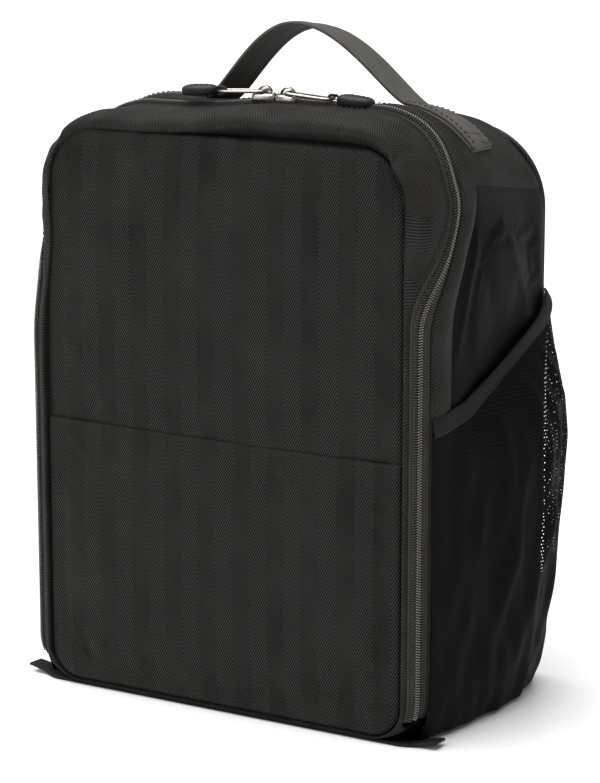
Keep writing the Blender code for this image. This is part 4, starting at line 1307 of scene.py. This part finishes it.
def strap_points():
    """The strap's sheet: stitched flat on each side, with a free arch between the two roots."""
    reach = surface(np.array([HANDLE_END_STATION]), run_at(HANDLE_Y))[0, 0]
    arch_angle = np.linspace(-math.pi / 2, math.pi / 2, 70)
    spans = np.where(arch_angle < 0, HANDLE_CROWN_X - HANDLE_ROOTS[0],
                     HANDLE_ROOTS[1] - HANDLE_CROWN_X)
    arch_x = HANDLE_CROWN_X + spans * np.sin(arch_angle)
    left = np.linspace(-reach, HANDLE_ROOTS[0], 24)[:-1]
    right = np.linspace(HANDLE_ROOTS[1], reach, 20)[1:]
    x = np.concatenate((left, arch_x, right))
    free = np.concatenate((0 * left, np.cos(arch_angle) ** (2 * HANDLE_BEND), 0 * right))
    across = np.linspace(-1, 1, 17)
    runs = run_at(HANDLE_Y + HANDLE_HALF * across)[None, :] + 0 * x[:, None]
    flat = np.clip((x - HANDLE_ROOTS[1]) / (reach - HANDLE_ROOTS[1]), 0, 1) ** 2
    stations = roof_station(x)[:, None] + HANDLE_SKEW * flat[:, None] * across[None, :]
    bands = STRAP_BANDS * hump(np.abs(across), 0.5, 0.27) - STRAP_EDGE * (np.abs(across) > 0.93)
    points = surface(stations, runs, STRAP_LIFT + bands[None, :] + 0 * runs)
    crown = surface(roof_station(np.array([HANDLE_CROWN_X])), run_at(HANDLE_Y), STRAP_LIFT)[0, 2]
    points[..., 2] += (HANDLE_TOP - STRAP_THICK - crown) * free[:, None]
    return points, across


def make_handle():
    """The strap, which bends between its stitched ends and its arch."""
    points, across = strap_points()
    uv = stacked(lengths_along(points[:, 8])[:, None], HANDLE_HALF * across[None, :])
    strap = grid("handle_webbing_strap", points, uv, STRAP_THICK, outward=True)
    place_piece(strap, WEBBING, "webbing", None, "handle_strap")
    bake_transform(strap)


def make_handle_end(side, word):
    """The folded end under the strap, and the thread that holds both down."""
    root = abs(roof_station(np.array(HANDLE_ROOTS))[1 if side > 0 else 0])
    stations = side * stations_between(root + 0.05, HANDLE_END_STATION + 0.09, 0.003)
    stations = stations[::side]
    across = np.linspace(-1, 1, 9)
    runs = run_at(HANDLE_Y + (HANDLE_HALF + 0.0004) * across)[None, :] + 0 * stations[:, None]
    flat = np.clip((stations - root) / (HANDLE_END_STATION - root), 0, 1) ** 2
    slanted = stations[:, None] + HANDLE_SKEW * flat[:, None] * across[None, :]
    end = shell_grid("handle_end_" + word, slanted, runs, PATCH_LIFT + 0 * runs, PATCH_THICK)
    place_piece(end, WEBBING, "webbing", "case", "handle_patch_" + word)
    lift = STRAP_LIFT + STRAP_THICK + THREAD_LIFT
    long_way = side * stations_between(root + 0.1, HANDLE_END_STATION - 0.15, 0.0030)[::side]
    rows = [(long_way, run_at(HANDLE_Y + edge * HANDLE_HALF) + 0 * long_way)
            for edge in (-0.86, 0.86)]
    cross_way = run_at(HANDLE_Y + HANDLE_HALF * np.linspace(-0.80, 0.80, 8))
    rows += [(side * station + 0 * cross_way, cross_way)
             for station in (root + 0.12, HANDLE_END_STATION - 0.22, HANDLE_END_STATION - 0.75)]
    made = [stitches("row", surface(place, run, lift), surface_normal(place, run), radius=0.00030)
            for place, run in rows]
    thread = joined("handle_stitching_" + word, *made)
    place_piece(thread, THREAD, "webbing", "case")


# ---- webbing strip under the front edge --------------------------------------------------------
TAB_FRONT_Y, TAB_BACK_Y = -0.0668, -0.0562
STRIP_REACH, TAB_START = 0.1265, 0.106
RIGHT_CURL, LEFT_CURL = 0.0046, 0.0050          # how far the strip's two tabs curl up


def make_strip():
    """The webbing under the front edge, its two tabs curled up at the corners."""
    lo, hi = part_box("hinge_strip")
    x = np.linspace(-STRIP_REACH, STRIP_REACH, 110)[:, None]
    tab = smooth((np.abs(x) - TAB_START) / 0.012)
    front = lo.y + (TAB_FRONT_Y - lo.y) * tab
    y = front + (hi.y + (TAB_BACK_Y - hi.y) * tab - front) * np.linspace(0, 1, 9)[None, :]
    curl = (RIGHT_CURL * smooth((x - 0.108) / 0.021) ** 1.3
            + LEFT_CURL * smooth((-x - TAB_START) / 0.022) ** 1.2)
    z = 0.0001 + curl * (0.75 - 0.25 * (y - lo.y) / (hi.y - lo.y))
    strip = grid("edge_strip", stacked(x, y, z), stacked(x, y), 0.0013, outward=True)
    place_piece(strip, STRIP, "webbing", "case", "hinge_strip")


# ---- side pockets ------------------------------------------------------------------------------
POCKET_LENGTH = POCKET_BACK_Y - POCKET_FRONT_Y
POCKET_FOLDS = (
    # (share back, height) along each gather, its width and height
    (((0.16, 0.163), (0.13, 0.120), (0.10, 0.060)), 0.0055, 0.0022),
    (((0.27, 0.168), (0.25, 0.125), (0.17, 0.060), (0.11, 0.022)), 0.0060, 0.0026),
    (((0.37, 0.172), (0.40, 0.140), (0.37, 0.100)), 0.0048, 0.0024),
    (((0.47, 0.178), (0.49, 0.130), (0.42, 0.070), (0.30, 0.020)), 0.0060, 0.0028),
    (((0.58, 0.184), (0.66, 0.150), (0.64, 0.105)), 0.0050, 0.0025),
    (((0.68, 0.189), (0.74, 0.140), (0.68, 0.080), (0.50, 0.018)), 0.0062, 0.0028),
    (((0.80, 0.195), (0.88, 0.160), (0.87, 0.115)), 0.0046, 0.0024),
    (((0.90, 0.198), (0.94, 0.150), (0.90, 0.080), (0.78, 0.026)), 0.0055, 0.0024),
)
POCKET_LOW = 0.0022                             # the bag's foot hangs almost to the floor
POCKET_FRONT_SEAM_Y, POCKET_BACK_SEAM_Y = -0.0620, 0.0665
MOUTH_LINE = ((-0.0659, 0.1672), (-0.0325, 0.172), (-0.0098, 0.1801), (0.0183, 0.1914),
              (0.0507, 0.2033), (0.0601, 0.2101), (0.0665, 0.2152))
BAG_UP = (0.0, 0.06, 0.15, 0.35, 0.55, 0.72, 0.82, 0.90, 0.95, 1.0)
BAG_WALL = (0.1162, 0.1202, 0.1229, 0.1233, 0.1232, 0.1230, 0.1228, 0.1226, 0.1225, 0.1224)
BAG_SWELL = (0.0125, 0.0125, 0.0135, 0.0168, 0.0205, 0.0222, 0.0210, 0.0165, 0.0115, 0.0048)
POCKET_FULLNESS = 1.18                          # cloth's length over the pocket's, for the weave
BINDING_WIDTH, BINDING_THICK, BINDING_SWELL = 0.0098, 0.0012, 0.0010


def mouth_height(y):
    return np.interp(y, *zip(*MOUTH_LINE))


def pocket_points(side, share, up, seed):
    """The gathered mesh: hardly off the side in front, a baggy swell towards the back."""
    y = POCKET_FRONT_SEAM_Y + (POCKET_BACK_SEAM_Y - POCKET_FRONT_SEAM_Y) * share
    above = np.clip(up, 0, 1)
    z = POCKET_LOW + (mouth_height(y) - POCKET_LOW) * above
    skew = 1.4 + 0.5 * smooth(above / 0.3)
    swell = np.abs(np.sin(math.pi * np.clip(share, 0, 1) ** skew)) ** 0.7
    in_front = EDGE_DROP * edge_fall(y - FRONT_Y, EDGE_DEPTH)
    at_back = BACK_DROP * edge_fall(BACK_Y - y, BACK_DEPTH)
    wall = np.interp(above, BAG_UP, BAG_WALL) - in_front - at_back
    wall = wall - 0.8 * LEFT_LEAN * smooth((z - LEAN_HEIGHT) / LEAN_RISE) * (side < 0)
    stand = np.interp(above, BAG_UP, BAG_SWELL) * swell
    loose = smooth(np.minimum(share, 1 - share) / 0.10) * smooth((1 - above) / 0.06)
    gathers = 0.0006 * waves(y, 0.3 * z, 0.016, seed) * loose
    for line, width, rise in POCKET_FOLDS:
        real = [(POCKET_FRONT_Y + POCKET_LENGTH * a, b) for a, b in line]
        gathers = gathers + fold(y, z, real, width, rise) * loose
    gathers = (1.5 * gathers - 0.0008 * loose) * (0.45 + 0.55 * swell)
    under = np.clip(-up / 0.03, 0, 1)
    x = wall + np.maximum(stand + gathers, 0.0) - 0.0135 * under
    return stacked(side * x, y, z - 0.0010 * under)


def make_pocket(side, word):
    """Gathered mesh sewn down its front, back and foot, with a folded tape along its mouth."""
    share = np.linspace(0, 1, 74)[None, :]
    up = np.concatenate(([-0.03, -0.015], np.linspace(0, 0.985, 92)))[:, None]
    share, up = np.broadcast_arrays(share, up)
    points = pocket_points(side, share, up, 71 + side)
    if side > 0:
        points, share = points[::-1], share[::-1]
    stretch = stacked(POCKET_LENGTH * POCKET_FULLNESS * share, points[..., 2])
    mesh = grid("pocket_mesh_" + word, points, stretch)
    place_piece(mesh, MESH_CLOTH, "pocket_mesh", None, "side_pocket_" + word)
    share = np.linspace(0, 1, 60)
    centre = pocket_points(side, share, 1.0 + 0 * share, 71 + side)
    ends = smooth(np.minimum(share, 1 - share) / 0.06)
    centre = centre + np.array([side * 0.0003, 0.0, -0.0006])
    out = stacked(side, 0 * share, 0.12)
    tape = ribbon("pocket_tape_" + word, centre, out, BINDING_WIDTH,
                  BINDING_THICK + BINDING_SWELL * ends)
    place_piece(tape, GROSGRAIN, "webbing", None, "pocket_binding_" + word)
    for piece in (mesh, tape):
        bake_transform(piece)


# ---- dividers ----------------------------------------------------------------------------------
BOARD_SHARE, BOARD_ROUNDING, BOARD_RADIUS = 0.96, 0.75, 0.006


def make_divider(node):
    """A padded board in loop fabric, rounded at its edges, in its CAD solid's space."""
    lo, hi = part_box(node)
    middle, half = (lo + hi) / 2, (hi - lo) / 2
    shape = cube_grid(22)
    thin = min(range(3), key=lambda k: half[k])
    for vert in shape.verts:
        local = Vector([vert.co[k] * half[k] for k in range(3)])
        edge = min(half[k] - abs(local[k]) for k in range(3) if k != thin)
        local[thin] *= BOARD_SHARE - BOARD_ROUNDING * edge_fall(edge, BOARD_RADIUS)
        vert.co = middle + local
        if "tall" in node:
            roof = HEIGHT - ROOF_FALL * max(0.0, vert.co.y - ROOF_FALL_Y) - WALL - 0.001
            station = ROOF_END * vert.co.x / (HALF_WIDTH - TOP_RADIUS)
            vert.co.z = min(vert.co.z, float(settle(vert.co.x, roof, station, vert.co.y)[1]))
    pad = shape_object(node.replace("divider", "padded_divider"), shape)
    place_piece(pad, LOOP, "loop_lining", frame["nodes"][node]["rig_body"], node, fill=0.7)


# ---- stitching along the zip -------------------------------------------------------------------
def make_zip_stitching():
    """Rows of thread that hold the tape to the case's cloth and to the lid's border."""
    stations = stations_between(-ZIP_END + 0.2, ZIP_END - 0.2, 0.0031)
    for body, sign, inset in (("case", 1, 0.0024), ("lid", -1, 0.0012)):
        runs = zip_run(stations) + sign * (TAPE_WIDTH + inset)
        low_lift, high_lift = (0.0012, 0.0020) if sign > 0 else (0.0009, 0.0011)
        lift = low_lift + (high_lift - low_lift) * smooth((TWILL_END - np.abs(stations)) / 2.0)
        points = surface(stations, runs, lift)
        row = stitches("zip_thread_" + body, points, surface_normal(stations, runs))
        place_piece(row, THREAD, "webbing", body)


# ---- build -------------------------------------------------------------------------------------
make_camera()
make_front()
make_border()
make_lid_inside()
make_tapes()
make_coils()
for SIDE, WORD in SIDES:
    make_slider(SIDE, WORD)
    make_pull(SIDE, WORD)
    droop(SIDE, WORD)
    make_side(SIDE, WORD)
    make_handle_end(SIDE, WORD)
    make_pocket(SIDE, WORD)
make_handle()
make_strip()
for NODE in frame["nodes"]:
    if NODE.startswith("divider"):
        make_divider(NODE)
make_roof()
make_base()
make_back()
make_inside()
make_zip_stitching()


# ---- studio ------------------------------------------------------------------------------------
FLOOR_REACH = 6.0
SURROUND_LIGHT, SURROUND_SEEN = 0.42, 1.05      # its strength as light, and as the camera sees it
OVERHEAD_POWER, OVERHEAD_SPREAD = 4.6, math.radians(70)
OVERHEAD_TILT = (math.radians(8), math.radians(-12), 0.0)
FRONT_LIGHT_PLACE, FRONT_LIGHT_SIZE, FRONT_LIGHT_POWER = (-1.2, -2.3, 1.2), (1.4, 1.4), 12.0


def make_floor():
    """A pale, slightly glossy studio floor just under the case."""
    corners = [(x * FLOOR_REACH, y * FLOOR_REACH, -GAP)
               for x, y in ((-1, -1), (1, -1), (1, 1), (-1, 1))]
    floor = mesh_object("studio_floor", corners, [(0, 1, 2, 3)])
    paint = Paint("studio_white", specular=0.5)
    grain = paint.noise(paint.solid(), 0.4)
    colour = paint.mix(grain, (0.91, 0.91, 0.905), (0.94, 0.94, 0.935))
    floor.data.materials.append(paint.finish(colour, paint.spread(grain, 0.3, 0.4), grain,
                                             0.0001, 0.1))


def area_light(name, place, target, size, power):
    data = bpy.data.lights.new(name, "AREA")
    data.shape = "RECTANGLE"
    data.size, data.size_y = size
    data.energy = power
    light = link(bpy.data.objects.new(name, data))
    light.location = place
    light.rotation_mode = "QUATERNION"
    light.rotation_quaternion = (Vector(target) - Vector(place)).to_track_quat("-Z", "Y")


def make_light():
    """A broad soft sun overhead, a square box at the front, and a white surround."""
    world = bpy.data.worlds.new("studio")
    world.use_nodes = True
    bpy.context.scene.world = world
    tree = world.node_tree
    backdrop = tree.nodes["Background"]
    backdrop.inputs["Color"].default_value = (1.0, 1.0, 1.0, 1.0)
    rays = tree.nodes.new("ShaderNodeLightPath")
    strength = tree.nodes.new("ShaderNodeMapRange")
    tree.links.new(rays.outputs["Is Camera Ray"], strength.inputs["Value"])
    strength.inputs["To Min"].default_value = SURROUND_LIGHT
    strength.inputs["To Max"].default_value = SURROUND_SEEN
    tree.links.new(strength.outputs[0], backdrop.inputs["Strength"])
    sun = bpy.data.lights.new("overhead", "SUN")
    sun.energy, sun.angle = OVERHEAD_POWER, OVERHEAD_SPREAD
    holder = link(bpy.data.objects.new("overhead", sun))
    holder.rotation_euler = OVERHEAD_TILT
    area_light("front", FRONT_LIGHT_PLACE, (0.0, 0.0, HEIGHT / 2), FRONT_LIGHT_SIZE,
               FRONT_LIGHT_POWER)
    bpy.context.scene.view_settings.view_transform = "Standard"


make_floor()
make_light()
